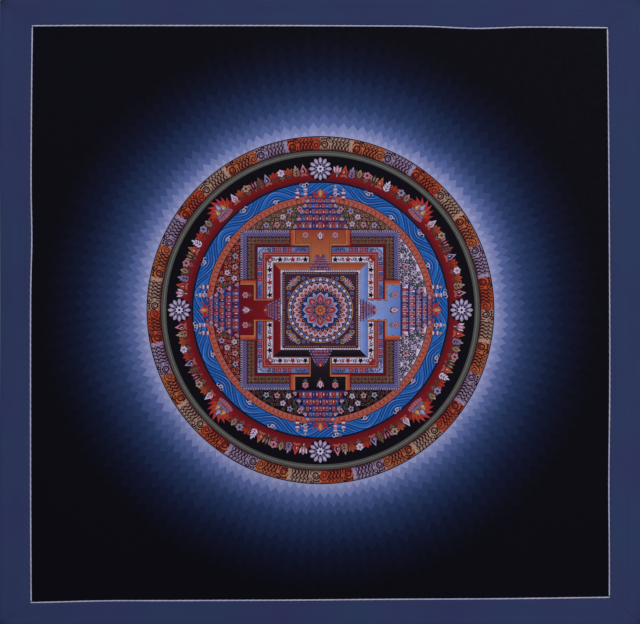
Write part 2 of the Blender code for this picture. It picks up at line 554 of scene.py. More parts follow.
# %% The scales and the glow
MIDDLE_ACROSS = -0.0004
MIDDLE_DOWN = 0.2713
MANDALA_RADIUS = 0.1516
SCALES_ROUND = 128
RING_GROWTH = 0.0445
TOOTH = 0.74
SOFTENING = 0.34
WOBBLE_SPOTS = 7.0
WOBBLE = 3.2
RING_WOBBLE = 0.4
UNEVEN_TONE = 0.0022
# Painted light: the ground's tone is painted brighter at the top and falls off towards the foot.
PAINTED_LIGHT_AT_TOP = 1.06
PAINTED_LIGHT_FALL = 0.16
GLOW_END = 0.250
GLOW = (  # radius in metres, and the tone there
    (0.1540, "9195c0"),
    (0.1570, "7a81b2"),
    (0.1605, "5f6ea2"),
    (0.1640, "526196"),
    (0.1690, "435486"),
    (0.1740, "354774"),
    (0.1800, "293a63"),
    (0.1880, "213055"),
    (0.1960, "1b284a"),
    (0.2040, "151e3b"),
    (0.2120, "11172f"),
    (0.2220, "0f1226"),
    (0.2320, "0d0d1b"),
    (0.2440, "0b0a13"),
)
print("scales round", SCALES_ROUND, "and tones", len(GLOW))


# %% The painted ground
def radius_of_tone(place):
    """The radius whose tone this point has, by the scale that it lies on."""
    x, _, z = place.apart()
    across, up = x - MIDDLE_ACROSS, z + MIDDLE_DOWN
    radius = (across * across + up * up).math("SQRT")
    by_hand = (place.noise(WOBBLE_SPOTS) - 0.5) * WOBBLE
    turn = across.math("ARCTAN2", up) * (SCALES_ROUND / math.tau) + by_hand
    tooth = (turn.math("FRACT") * 2.0 - 1.0).math("ABSOLUTE") * -1.0 + 1.0
    rings_out = (radius / MANDALA_RADIUS).math("LOGARITHM", math.e) / RING_GROWTH + by_hand * RING_WOBBLE
    ring = (rings_out - tooth * TOOTH).math("CEIL")
    middle = (ring * RING_GROWTH - RING_GROWTH * (1 - TOOTH) / 2).math("EXPONENT") * MANDALA_RADIUS
    scale = ring.node("ShaderNodeCombineXYZ", X=ring, Y=turn.math("FLOOR"))
    mixed_by_eye = scale.node("ShaderNodeTexWhiteNoise", Vector=scale) - 0.5
    return middle + (radius - middle) * SOFTENING + mixed_by_eye * UNEVEN_TONE


def make_ground():
    """The material of the painted ground."""
    material, shader, place = new_material("night_ground")
    ramp = place.tree.nodes.new("ShaderNodeValToRGB")
    (start, first_tone), *between_tones, (end, last_tone) = GLOW
    reach = GLOW_END - start
    connect((radius_of_tone(place) - start) / reach, ramp.inputs["Fac"])
    stops = ramp.color_ramp.elements
    stops[0].color = linear(first_tone)
    stops[1].position = (end - start) / reach
    stops[1].color = linear(last_tone)
    for radius, tone in between_tones:
        stops.new((radius - start) / reach).color = linear(tone)
    _, _, z = place.apart()
    # Painted light, as under one lamp: the ground is brighter at the top and darker towards the foot.
    tone = brightened(Wire(ramp.outputs["Color"]), z / CLOTH_HEIGHT * PAINTED_LIGHT_FALL + PAINTED_LIGHT_AT_TOP)
    coat_of_paint(shader, place, tone, linear("000000"), 0.0, GROUND_UNEVENNESS)
    return material


night_ground = make_ground()
print("nodes in the ground", len(night_ground.node_tree.nodes))

# %% [markdown]
# ## The canvas and its painted ground
# The canvas is a real sheet of cotton, 1.2 mm thick, which reaches 9 mm past the seam behind the border. On
# its front lies the polished ground. That is a thin film of its own here, as it is on the real cloth, so
# that its colour can be baked at full size.

# %% Canvas
CANVAS_MARGIN = 0.009
CANVAS_FRONT = 0.00006
CANVAS_THICK = 0.0012
FILM_MARGIN = 0.0030
FILM_FRONT = 0.00001
FILM_THICK = 0.00004
CANVAS_CELL = 0.0052
PANEL_SHARP = math.radians(40)
STAIN_SPOTS = 14.0
SLUBS_SHOW, STAINS_SHOW = 0.7, 0.6
RAW_TONES = ("a3967b", "cfc4a9")


def panel(name, margin, front, thick, material):
    """A sheet inside the seams, hung, with this thickness behind its front."""
    columns = round((seam_length(SIDES["top"]) + 2 * margin) / CANVAS_CELL)
    rows = round((seam_length(SIDES["left"]) + 2 * margin) / CANVAS_CELL)

    def place(across, up):
        flat = inside_seams(across, 1 - up, margin)
        return hang(flat.x, front, flat.y)

    sheet = grid(name, columns, rows, place)
    sheet.data.uv_layers[0].name = MAP
    sheet.data.materials.append(material)
    apply_modifier(sheet, "SOLIDIFY", thickness=thick, offset=-1)
    sheet.data.shade_smooth()
    sheet.data.set_sharp_from_angle(angle=PANEL_SHARP)
    return sheet


def raw_cotton():
    """Unbleached canvas, as it shows on the back and at its raw edge."""
    material, shader, place = new_material("raw_canvas")
    woven = placed(weave, place.from_front(), Threads=CANVAS_THREADS)
    stains = place.noise(STAIN_SPOTS, 4.0)
    mixed = (woven["Slubs"] * SLUBS_SHOW + stains * STAINS_SHOW - 0.15).clamped()
    wire_up(shader, two_toned(mixed, RAW_TONES), woven["Slubs"] * 0.2 + 0.8)
    raise_by(shader, woven["Height"], strength=0.5, depth=0.00012)
    return material


raw_canvas = raw_cotton()
canvas = panel("canvas_cloth", CANVAS_MARGIN, CANVAS_FRONT, CANVAS_THICK, raw_canvas)
ground = panel("painted_ground", FILM_MARGIN, FILM_FRONT, FILM_THICK, night_ground)
print("canvas faces", len(canvas.data.polygons))

# %% [markdown]
# ## The blue border
# Each side of the border is one strip of matt blue cotton, mitred at both ends. Its inner edge is folded
# under against the piping, and its outer edge is turned over to the back as a hem. So the strip is drawn as
# a section, like a slice through the fold, and the section is swept along the side. The section's points go
# round it once, and the grid of quads closes into a flat tube.

# %% The border's section
BORDER_THICK = 0.0012
HEM_PLY = 0.0010
HEM_WIDTH = 0.008
HEM_SHOWS = 0.00010
HEM_SHOWS_OVER = 0.0008
HEM_FOLD_REACH = 0.0007
HEM_EDGE_BEVEL = 0.0003
MITRE_DIP = 0.00020
MITRE_DIP_REACH = 0.0006
PIPING_RADIUS = 0.00065
EDGE_GAP = 0.00012
NOSE_STEPS = 4
FRONT_POINTS = 9
ARC_STEPS = 8
EDGE_STEPS = 110
BACK_POINTS = 3
STRIP_SHARP = math.radians(50)


def half_round(middle, depth, reach, rise, backwards):
    """Points of a folded edge: an ellipse's half, from its front to its back."""
    points = []
    for step in range(NOSE_STEPS + 1):
        angle = math.pi * (step / NOSE_STEPS - 0.5)
        out = reach * math.cos(angle) * (-1 if backwards else 1)
        points.append((middle + out, depth + rise * math.sin(angle)))
    return points


def strip_section(width):
    """A slice across the strip as (distance from the inner edge, depth), round once from the inner fold."""
    nose, middle = BORDER_THICK / 2, -BORDER_THICK / 2
    hem_line, fold_line = width - HEM_WIDTH, width - HEM_FOLD_REACH
    section = list(reversed(half_round(nose, middle, nose, nose, True)))
    for step in range(1, FRONT_POINTS):
        along = nose + (fold_line - nose) * step / FRONT_POINTS
        rise = HEM_SHOWS / (1 + math.exp((hem_line - along) / HEM_SHOWS_OVER))
        section.append((along, -BORDER_THICK - rise))
    hem_rise = (BORDER_THICK + HEM_PLY) / 2
    section += half_round(fold_line, middle + HEM_PLY / 2, HEM_FOLD_REACH, hem_rise, False)
    section += [(hem_line + HEM_EDGE_BEVEL, HEM_PLY), (hem_line, HEM_PLY - HEM_EDGE_BEVEL), (hem_line, 0.0)]
    for step in range(1, BACK_POINTS):
        section.append((hem_line + (nose - hem_line) * step / BACK_POINTS, 0.0))
    return section + section[:1]


SECTION_ROWS = len(strip_section(width=0.03)) - 1  # the same at every width
print("points round the strip's section", SECTION_ROWS)


# %% The border's edges
def edge_stations(length):
    """Stations along an outer edge as (ahead, inset), with half a rounded corner at each end."""
    rounded = []
    for step in range(ARC_STEPS + 1):
        angle = math.pi / 4 * (1 + step / ARC_STEPS)
        rounded.append((CORNER_RADIUS * (1 - math.cos(angle)), CORNER_RADIUS * (1 - math.sin(angle))))
    straight = length - 2 * CORNER_RADIUS
    middle = [(CORNER_RADIUS + straight * step / EDGE_STEPS, 0.0) for step in range(1, EDGE_STEPS)]
    drawn = rounded + middle + [(length - ahead, inset) for ahead, inset in reversed(rounded)]
    return [(at, inset + EDGE_DRAWN_IN * math.sin(math.pi * at / length) ** 2) for at, inset in drawn]


def strip_lines(side):
    """Point by point, a strip's inner edge, its outer edge and how far the nearer mitre is."""
    start, end = outline_corner(side.start), outline_corner(side.end)
    length = math.dist(start, end)
    along = ((end[0] - start[0]) / length, (end[1] - start[1]) / length)
    inwards = (-along[1], along[0])
    stations = edge_stations(length)
    first = stations[0][0]
    from_seam = PIPING_RADIUS + EDGE_GAP
    past = from_seam / seam_length(side)
    lines = []
    for ahead, inset in stations:
        outer = tuple(start[axis] + along[axis] * ahead + inwards[axis] * inset for axis in (0, 1))
        share = (ahead - first) / (length - 2 * first) * (1 + 2 * past) - past
        lines.append((seam_point(side, share, from_seam), outer, min(ahead, length - ahead) - first))
    return lines


# %% A closed tube from a grid
def tube(name, columns, rows, place):
    """A grid rolled up and closed: its rows run round, and both ends get a cap."""
    roll = grid(name, columns, rows, place)
    roll.data.uv_layers[0].name = MAP
    pick(roll)
    edit(
        lambda: bpy.ops.mesh.remove_doubles(threshold=1e-6),
        lambda: bpy.ops.mesh.fill_holes(sides=0),
        lambda: bpy.ops.mesh.normals_make_consistent(inside=False),
    )
    roll.data.shade_smooth()
    return roll


def border_strip(name, side, material):
    """A mitred strip of the border, with its edge folded under and its hem."""
    lines = strip_lines(side)
    columns = len(lines) - 1

    def place(across, up):
        inner, outer, from_mitre = lines[round(across * columns)]
        width = math.dist(inner, outer)
        along, depth = strip_section(width)[round(up * SECTION_ROWS)]
        if depth < -BORDER_THICK / 2:
            depth += MITRE_DIP * math.exp(-((from_mitre / MITRE_DIP_REACH) ** 2))
        flat = between(inner, outer, along / width)
        return hang(flat[0], depth, flat[1])

    strip = tube(name, columns, SECTION_ROWS, place)
    strip.data.materials.append(material)
    strip.data.set_sharp_from_angle(angle=STRIP_SHARP)
    return strip


# %% [markdown]
# ## Blue cotton
# The border's blue is not one blue: the dye took a little redder here and a little bluer there, the threads
# make soft streaks that run along each strip, and the cloth is darker towards its outer corners. A painted
# light also makes it a little brighter to the right and a little darker towards the top. The weave and the
# streaks follow the strip's own map, which runs along it and round it. The rest follows the place on the
# cloth, so it runs on over the seams between the strips.

# %% The border's material
STRIP_LENGTH = 0.56
STRIP_ROUND = 0.078
BORDER_THREADS = 1500.0
CORNER_DARKENING = {"top_left": 0.75, "top_right": 0.45, "bottom_right": 0.50, "bottom_left": 0.70}
CORNER_DARKENING_REACH = 0.0042
# Painted light: the border's blue is painted a little brighter to the right and a little darker towards the
# top.
BLUE_AT_FOOT, PAINTED_LIGHT_RISE, PAINTED_LIGHT_RIGHTWARDS = 1.10, -0.03, 0.02
STREAK_CONTRAST, CLOUD_CONTRAST, SLUB_CONTRAST = 0.30, 0.10, 0.10
STREAKS, CLOUD_SPOTS = (5.0, 420.0, 1.0), 9.0
DYE_SPOTS, DYE_CONTRAST = 13.0, 2.6
BLUES = ("2f325a", "2b395a")


def own_map(tree):
    """The place on a piece's own map, which runs along it and round it."""
    mapped = tree.nodes.new("ShaderNodeUVMap")
    mapped.uv_map = MAP
    return Wire(mapped.outputs[0])


def corner_darkening(x, z):
    """How much darker the cloth is made, from 0 to 1, by how near its outer corners are."""
    darkening = None
    for corner, amount in CORNER_DARKENING.items():
        across, down = outline_corner(corner)
        away = ((x - across) * (x - across) + (z + down) * (z + down)).math("SQRT")
        near = ((away / CORNER_DARKENING_REACH) * -1.0).math("EXPONENT") * amount
        darkening = near if darkening is None else darkening + near
    return darkening


def blue_cotton():
    """Matt blue cotton, uneven in dye and thread."""
    material, shader, place = new_material("border_cotton")
    cloth = own_map(place.tree).stretched(STRIP_LENGTH, STRIP_ROUND, 1.0)
    woven = placed(weave, cloth, Threads=BORDER_THREADS)
    x, _, z = place.apart()
    rightness, height = x / CLOTH_WIDTH + 0.5, z / CLOTH_HEIGHT + 1.0
    streaks = cloth.stretched(*STREAKS).noise(1.0, 3.0) - 0.5
    clouds = place.noise(CLOUD_SPOTS, 3.0) - 0.5
    # Painted light: brighter to the right and darker towards the top.
    bright = height * PAINTED_LIGHT_RISE + rightness * PAINTED_LIGHT_RIGHTWARDS + BLUE_AT_FOOT
    bright = bright + streaks * STREAK_CONTRAST + clouds * CLOUD_CONTRAST
    bright = bright + (woven["Slubs"] - 0.5) * SLUB_CONTRAST
    # Darker towards the outer corners.
    bright = bright * (corner_darkening(x, z) * -1.0 + 1.0)
    dye = ((place.noise(DYE_SPOTS, 3.0) - 0.5) * DYE_CONTRAST + 0.5).clamped()
    wire_up(shader, brightened(two_toned(dye, BLUES), bright), woven["Slubs"] * 0.15 + 0.82)
    raise_by(shader, woven["Height"], strength=0.5, depth=0.00015)
    shader.inputs["Sheen Weight"].default_value = 0.03
    shader.inputs["Specular IOR Level"].default_value = 0.06
    return material


border_cotton = blue_cotton()
strips = {name: border_strip("cloth_" + name, side, border_cotton) for name, side in SIDES.items()}
print("faces in a strip", len(strips["top"].data.polygons))

# %% [markdown]
# ## The white piping
# The thin white line round the painting is a cotton cord of three plies, sewn down against the border's
# edge by eye, which is why it wavers. Its section has three lobes, and turning the section a little at each
# station twists the plies round each other.

# %% Piping
PLIES = 3
PLY_DEPTH = 0.24
TWIST_LENGTH = 0.0058
PIPING_STATION = 0.00097
PIPING_POINTS = 12
YARN_UNEVENNESS = 0.05
YARN_SWELLINGS = 210
END_SHARE, END_GROWTH = 0.55, 0.3
FIBRES, SOIL_SPOTS = (900.0, 30.0, 1.0), 22.0
PIPING_TONES = ("8887ab", "c3c2df")


def piping(name, side, material):
    """A twisted cord along a seam. The upright ones stop just short of the level ones, at the corners."""
    length = seam_length(side)
    is_level = side in (SIDES["top"], SIDES["bottom"])
    first = (-PIPING_RADIUS if is_level else PIPING_RADIUS + EDGE_GAP) / length
    columns = round(length / PIPING_STATION)

    def place(across, up):
        share = first + (1 - 2 * first) * across
        turn = math.tau * up
        twist = math.tau * share * length / TWIST_LENGTH
        radius = PIPING_RADIUS * (1 - PLY_DEPTH * (0.5 - 0.5 * math.cos(PLIES * turn - twist)))
        radius *= 1 + YARN_UNEVENNESS * math.sin(share * length * YARN_SWELLINGS)
        stations_from_end = min(across, 1 - across) * columns
        radius *= min(1.0, END_SHARE + END_GROWTH * stations_from_end)
        flat = seam_point(side, share, radius * math.cos(turn))
        return hang(flat[0], radius * math.sin(turn) - PIPING_RADIUS, flat[1])

    cord = tube(name, columns, PIPING_POINTS, place)
    cord.data.materials.append(material)
    return cord


def white_cotton():
    """Soft white yarn, uneven along its fibres and greyer here and there."""
    material, shader, place = new_material("white_piping")
    fibres = own_map(place.tree).stretched(*FIBRES).noise(1.0, 2.0)
    soiled = place.noise(SOIL_SPOTS, 2.0)
    mixed = (fibres * 0.6 + soiled * 0.7 - 0.15).clamped()
    wire_up(shader, two_toned(mixed, PIPING_TONES), fibres * 0.2 + 0.7)
    raise_by(shader, fibres, strength=0.4, depth=0.00010)
    return material


white_piping = white_cotton()
cords = {name: piping("cord_" + name, side, white_piping) for name, side in SIDES.items()}
print("faces in a piping cord", len(cords["top"].data.polygons))

# %% [markdown]
# ## Sewing on the back
# The hem is slip-stitched and the canvas's raw edge is held to the border with small running stitches. One
# stitch is a short bowed thread. It is copied along a straight line with an array, and the line is then laid
# along the side, as a strip of stitches would be.

# %% One stitch
Row = namedtuple("Row", "name offset depth spacing reach thread")
STITCH_ROWS = (
    Row("hem_stitches", offset=0.0185, depth=0.00098, spacing=0.0075, reach=0.0034, thread=0.00022),
    Row("seam_stitches", offset=0.0068, depth=0.00128, spacing=0.0060, reach=0.0030, thread=0.00025),
)
STITCH_RISE, STITCH_BOW = 0.7, 1.6
TWIST_SPOTS = 3000.0
THREAD_TONES = ("343c68", "565e8c")


def stitch_count(row, side):
    """How many stitches of this row fit along a side."""
    return int(seam_length(side) / row.spacing)


def one_stitch(name, row):
    """A thread with six sides that dips into the cloth at both ends."""
    bpy.ops.mesh.primitive_cylinder_add(vertices=6, radius=row.thread, depth=row.reach)
    stitch = added(name)
    stitch.data.transform(Matrix.Rotation(math.pi / 2, 4, "Y"))
    pick(stitch)
    edit(lambda: bpy.ops.mesh.bisect(plane_co=(0, 0, 0), plane_no=(1, 0, 0)))
    for point in stitch.data.vertices:
        from_middle = abs(point.co.x) / (row.reach / 2)
        point.co.z += row.thread * (STITCH_RISE - STITCH_BOW * from_middle**2)
    return stitch


# %% Rows of stitches
def repeat_along(things, count, period):
    """Repeats things in a straight line, to the right."""
    step = (period, 0, 0)
    line = {"use_relative_offset": False, "use_constant_offset": True, "constant_offset_displace": step}
    for obj in things:
        apply_modifier(obj, "ARRAY", count=count, **line)
    return things


def stitch_row(row, side_name, material):
    """A row of stitches along a side, at its depth behind the front."""
    side = SIDES[side_name]
    length, count = seam_length(side), stitch_count(row, side)
    stitch = one_stitch(f"{row.name}_{side_name}", row)
    repeat_along([stitch], count, row.spacing)
    margin = (length - (count - 1) * row.spacing) / 2
    for point in stitch.data.vertices:
        share = (point.co.x + margin) / length
        flat = seam_point(side, share, row.offset + point.co.y)
        point.co = hang(flat[0], row.depth + point.co.z, flat[1])
    pick(stitch)
    edit(lambda: bpy.ops.mesh.normals_make_consistent(inside=False))
    stitch.data.shade_smooth()
    stitch.data.materials.append(material)
    return stitch


def sewing_thread():
    """Twisted blue thread."""
    material, shader, place = new_material("sewing_thread")
    twist = place.noise(TWIST_SPOTS, 1.0)
    wire_up(shader, two_toned(twist, THREAD_TONES), twist * 0.3 + 0.45)
    return material


thread = sewing_thread()
stitches = {name: [stitch_row(row, name, thread) for row in STITCH_ROWS] for name in SIDES}
print("stitches along the top", [stitch_count(row, SIDES["top"]) for row in STITCH_ROWS])

# %% [markdown]
# ## The drawing board
# The painting is drawn flat first, in millimetres round the middle of the mandala, with up as +Y. Each coat
# goes on top of the one before: grounds, then blocks, shapes, fills and lines. A flat thing on the board is a
# mesh with one coat's name on it. At the end all things of one coat are joined, hung with the cloth and given
# the thickness of paint. The shade attribute says where the second tone of a pigment shows.

# %% Coats and shades
COATS = ("grounds", "blocks", "shapes", "fills", "lines")
print("coats", len(COATS))


def on_coat(obj, coat, pigment):
    """Puts a flat mesh on a coat, in one pigment."""
    obj["coat"] = coat
    obj.data.materials.append(PAINTS[pigment])
    return obj


def set_shade(obj, shade):
    """Writes shade(x, y) on the points, from 0 to 1."""
    values = obj.data.attributes.get("shade") or obj.data.attributes.new("shade", "FLOAT", "POINT")
    for point, value in zip(obj.data.vertices, values.data):
        value.value = min(1.0, max(0.0, shade(point.co.x, point.co.y)))
    return obj


# %% Tiles, rings and discs
CELL = 5.0
FEWEST_CORNERS = 24


def tile(coat, pigment, left, right, low, high, shade=None):
    """A rectangle of small quads. shade(across, up) is given in shares of the tile."""
    wide, tall = right - left, high - low
    columns, rows = max(1, round(wide / CELL)), max(1, round(tall / CELL))

    def place(across, up):
        return left + wide * across, low + tall * up, 0

    obj = grid(f"tile_{pigment}", columns, rows, place)
    if shade is not None:
        set_shade(obj, lambda x, y: shade((x - left) / wide, (y - low) / tall))
    return on_coat(obj, coat, pigment)


def ring(coat, pigment, inner, outer, shade=None):
    """A ring of quads: a circle's edge is extruded and scaled outwards. shade(up) is 0 at its inner edge."""
    steps = max(1, round((outer - inner) / CELL))
    corners = max(FEWEST_CORNERS, 8 * round(math.tau * outer / CELL / 8))
    bpy.ops.mesh.primitive_circle_add(vertices=corners, radius=inner)
    obj = added(f"ring_{pigment}")

    def grow(step):
        before = inner + (outer - inner) * step / steps
        growth = (before + (outer - inner) / steps) / before
        bpy.ops.mesh.extrude_region_move()
        bpy.ops.transform.resize(value=(growth, growth, 1), center_override=(0, 0, 0))

    edit(*[partial(grow, step) for step in range(steps)])
    if shade is not None:
        set_shade(obj, lambda x, y: shade((math.hypot(x, y) - inner) / (outer - inner)))
    return on_coat(obj, coat, pigment)


def disc(coat, pigment, radius, at=(0, 0), points=12):
    """A small filled disc."""
    bpy.ops.mesh.primitive_circle_add(vertices=points, radius=radius, fill_type="NGON")
    obj = added(f"disc_{pigment}")
    obj.data.transform(Matrix.Translation((*at, 0)))
    return on_coat(obj, coat, pigment)


# %% [markdown]
# ## Copies, arrays and bends
# Most of a mandala repeats. A motif is drawn once and copied: in a straight line, mirrored, or round the
# middle, where an empty that is turned by one share of the circle tells the array how to go on. A ring's
# pattern is drawn as a straight strip, which is easier to think about, and is bent into a circle at the end.


# %% Moving and copying
def moved(things, at=(0, 0), turn=0.0, size=1.0, lift=0.0):
    """Scales flat things, turns them clockwise by degrees and moves them."""
    place = Matrix.Translation((*at, lift)) @ Matrix.Rotation(-math.radians(turn), 4, "Z")
    for obj in things:
        obj.data.transform(place @ Matrix.Scale(size, 4))
    return things


def copied(things, **place):
    """Copies of flat things, each with its own mesh, moved to a place."""
    new = []
    for obj in things:
        twin = obj.copy()
        twin.data = obj.data.copy()
        bpy.context.collection.objects.link(twin)
        new.append(twin)
    return moved(new, **place)


def rub_out(things):
    """Takes things off the board."""
    for obj in things:
        bpy.data.objects.remove(obj, do_unlink=True)


def gathered(things):
    """Joins the things of each coat into one mesh."""
    by_coat = {}
    for obj in things:
        by_coat.setdefault(obj["coat"], []).append(obj)
    for same in by_coat.values():
        pick(*same)
        if len(same) > 1:
            bpy.ops.object.join()
    return [same[0] for same in by_coat.values()]


# %% Repeating, mirroring and bending
def repeat_round(things, count):
    """Repeats things round the middle, with an array that turns by an empty."""
    bpy.ops.object.empty_add(rotation=(0, 0, -math.tau / count))
    turner = bpy.context.active_object
    round_it = {"use_relative_offset": False, "use_object_offset": True, "offset_object": turner}
    for obj in things:
        apply_modifier(obj, "ARRAY", count=count, **round_it)
    rub_out([turner])
    return things


def mirrored(things):
    """Adds the left half of what is drawn on the right half."""
    for obj in things:
        apply_modifier(obj, "MIRROR", use_mirror_merge=False)
    return things


def wrap(things, radius):
    """Bends a straight strip round the middle: its length runs clockwise and its top points outwards."""
    for obj in things:
        for point in obj.data.vertices:
            angle, out = point.co.x / radius, radius + point.co.y
            point.co = (out * math.sin(angle), out * math.cos(angle), point.co.z)
    return things


# %% [markdown]
# ## Shapes and brush strokes
# Petals, leaves and drops are outlines with a few points and smooth handles, filled like a cut-out. A brush
# stroke is a line swept with a flat brush, whose width follows the points' radius, so that it can start thin
# and swell. Both are curves first and are made meshes before they are placed. What is drawn later in a sketch
# lies a hair further forward, as wet paint over dry.


# %% The brush and the outlines
def curve_object(name):
    """A new flat curve, still without points."""
    data = bpy.data.curves.new(name, "CURVE")
    data.dimensions = "2D"
    obj = bpy.data.objects.new(name, data)
    bpy.context.collection.objects.link(obj)
    return obj, data


BRUSH, brush_curve = curve_object("brush")
brush_line = brush_curve.splines.new("POLY")
brush_line.points.add(1)
brush_line.points[0].co = (-0.5, 0, 0, 1)
brush_line.points[1].co = (0.5, 0, 0, 1)
TIP = True  # a point without a smooth handle
PETAL = ((0, 0, TIP), (0.46, 0.42), (0, 1, TIP), (-0.46, 0.42))
BROAD_PETAL = ((0, 0, TIP), (0.40, 0.32), (0.44, 0.74), (0, 1, TIP), (-0.44, 0.74), (-0.40, 0.32))
ROUND_PETAL = ((0, 0, TIP), (0.40, 0.40), (0.36, 0.82), (0, 1), (-0.36, 0.82), (-0.40, 0.40))
LEAF = ((0, 0, TIP), (0.40, 0.30), (0.34, 0.66), (-0.10, 1, TIP), (-0.24, 0.50))
DROP = ((0, 1, TIP), (0.30, 0.56), (0.46, 0.26), (0, 0), (-0.46, 0.26), (-0.30, 0.56))
TONGUE = ((-0.34, 0), (-0.50, 0.34), (-0.16, 0.66), (-0.22, 1, TIP), (0.26, 0.66), (0.50, 0.30), (0.34, 0))
BUD = ((-0.2, 0), (-0.5, 0.40), (-0.34, 0.78), (0, 1, TIP), (0.34, 0.78), (0.5, 0.40), (0.2, 0))
print("points of the broad petal", len(BROAD_PETAL))

# %% Sketches
CURVE_STEPS = 2
SKETCH_DEPTH = 0.05
TAPER = (0.4, 0.4)


class Sketch:
    """Shapes and strokes in millimetres, each a curve of its own until the sketch is made."""

    def __init__(self, name):
        self.name = name
        self.drawn = []

    def curve(self, coat, pigment, points):
        """A smooth line on a coat, with room for these points."""
        obj, data = curve_object(self.name)
        data.resolution_u = CURVE_STEPS
        data.materials.append(PAINTS[pigment])
        obj["coat"] = coat
        self.drawn.append(obj)
        line = data.splines.new("BEZIER")
        line.bezier_points.add(len(points) - 1)
        return data, line

    def shape(self, coat, pigment, outline, wide, tall, at=(0, 0), turn=0.0, edge=0.0, rim="black"):
        """A filled outline, given in shares of its width and height, turned clockwise, on a wider rim."""
        sine, cosine = math.sin(math.radians(turn)), math.cos(math.radians(turn))
        if edge:
            foot = (at[0] - edge * sine, at[1] - edge * cosine)
            self.shape(coat, rim, outline, wide + 2 * edge, tall + 2 * edge, foot, turn)
        data, line = self.curve(coat, pigment, outline)
        data.fill_mode = "BOTH"
        line.use_cyclic_u = True
        for point, (x, y, *tip) in zip(line.bezier_points, outline):
            x, y = x * wide, y * tall
            point.co = (at[0] + x * cosine + y * sine, at[1] - x * sine + y * cosine, 0)
            point.handle_left_type = point.handle_right_type = "VECTOR" if tip else "AUTO"

    def stroke(self, coat, pigment, points, width, ends=TAPER):
        """A brush stroke through these points, thinner at its ends."""
        data, line = self.curve(coat, pigment, points)
        data.fill_mode = "NONE"
        data.bevel_mode = "OBJECT"
        data.bevel_object = BRUSH
        last = len(points) - 1
        for index, (point, (x, y)) in enumerate(zip(line.bezier_points, points)):
            point.co = (x, y, 0)
            point.handle_left_type = point.handle_right_type = "AUTO"
            along = index / last
            end, nearness = (ends[0], 1 - 2 * along) if along < 0.5 else (ends[1], 2 * along - 1)
            point.radius = width * (1 + (end - 1) * nearness)

    def made(self, shade=None):
        """The sketch as flat meshes, one for each coat."""
        pick(*self.drawn)
        bpy.ops.object.convert(target="MESH")
        for index, obj in enumerate(self.drawn):
            obj.data.transform(Matrix.Translation((0, 0, SKETCH_DEPTH * index / len(self.drawn))))
            if shade is not None:
                set_shade(obj, shade)
        return gathered(self.drawn)


# %% Curls, arcs and spokes
SPIRAL_HEART = 0.25


def spiral(centre, outer, turns, start=0.0, points_per_turn=7):
    """Points of a curl that winds in from this angle in degrees: clockwise, or back if turns is negative."""
    count = max(4, round(abs(turns) * points_per_turn))
    points = []
    for step in range(count + 1):
        share = step / count
        angle = math.radians(start + 360 * turns * share)
        radius = outer * (1 - (1 - SPIRAL_HEART) * share)
        points.append((centre[0] + radius * math.sin(angle), centre[1] + radius * math.cos(angle)))
    return points


def arc(centre, radius, start, end, points=7):
    """Points of an arc between two angles in degrees, clockwise from the top."""
    angles = [math.radians(start + (end - start) * step / (points - 1)) for step in range(points)]
    return [(centre[0] + radius * math.sin(angle), centre[1] + radius * math.cos(angle)) for angle in angles]


def on_spoke(radius, degrees):
    """The point at this radius on a spoke from the middle, clockwise from the top."""
    return radius * math.sin(math.radians(degrees)), radius * math.cos(math.radians(degrees))


def on_circle(things, radius, degrees, size):
    """Copies of things at this radius, clockwise from the top, with their tops outwards."""
    return copied(things, at=on_spoke(radius, degrees), turn=degrees, size=size)


# %% [markdown]
# ## The rings
# A mandala is read from outside in. Its rings stand for fire, air, earth and water, so they are plain bands
# of colour first, and each gets its pattern after. Black lines part them. Three red bands are shaded, from
# deep to warm and back.

# %% Plain rings
Band = namedtuple("Band", "inner outer pigment")
BANDS = (
    Band(150.4, 151.3, "black"),
    Band(138.6, 139.8, "maroon"),
    Band(136.6, 138.6, "olive"),
    Band(135.8, 136.6, "pale_olive"),
    Band(134.2, 135.8, "olive"),
    Band(123.4, 134.2, "black"),
    Band(122.8, 123.4, "dark_red"),
    Band(110.6, 111.6, "black"),
    Band(100.3, 110.6, "blue"),
    Band(99.6, 100.3, "black"),
    Band(94.2, 99.6, "clay"),
    Band(93.5, 94.2, "maroon"),
)
for band in BANDS:
    ring("grounds", band.pigment, band.inner, band.outer)
ring("grounds", "maroon", 111.6, 113.6, lambda up: up)
ring("grounds", "dark_red", 113.6, 117.8, lambda up: 0.8 * up)
ring("grounds", "dark_red", 117.8, 122.8, lambda up: 0.8 - 0.6 * up)
print("plain rings", len(BANDS), "and shaded ones", 3)

# %% [markdown]
# ## The ring of fire
# The outermost ring is fire, drawn the old way: curling flames in colours that take turns. Two neighbouring
# lengths of flames, which curl opposite ways, are drawn straight, repeated in a line for the whole ring and
# then bent round the middle. The colours lie under the lines as tiles, paler towards the outside.

# %% The colours of the fire
FIRE_INNER, FIRE_OUTER = 139.7, 150.4
FIRE_MIDDLE, FIRE_HALF = (FIRE_INNER + FIRE_OUTER) / 2, (FIRE_OUTER - FIRE_INNER) / 2
FIRE_UNITS = 32
FIRE_PERIOD = math.tau * FIRE_MIDDLE / FIRE_UNITS
FIRE_COLOURS = ("tan", "orange", "lilac", "vermilion")


def paler_outwards(across, up):
    """The shade of a fire tile."""
    return 0.15 + 0.65 * up


fire_tiles = []
for index, pigment in enumerate(FIRE_COLOURS):
    left = index * FIRE_PERIOD
    fire_tiles += [tile("grounds", pigment, left, left + FIRE_PERIOD, -FIRE_HALF, FIRE_HALF, paler_outwards)]
repeat_along(fire_tiles, FIRE_UNITS // len(FIRE_COLOURS), FIRE_PERIOD * len(FIRE_COLOURS))
wrap(fire_tiles, FIRE_MIDDLE)
print("a length of flames is", round(FIRE_PERIOD, 2), "mm long")

# %% The lines of the fire
flames = Sketch("flames")


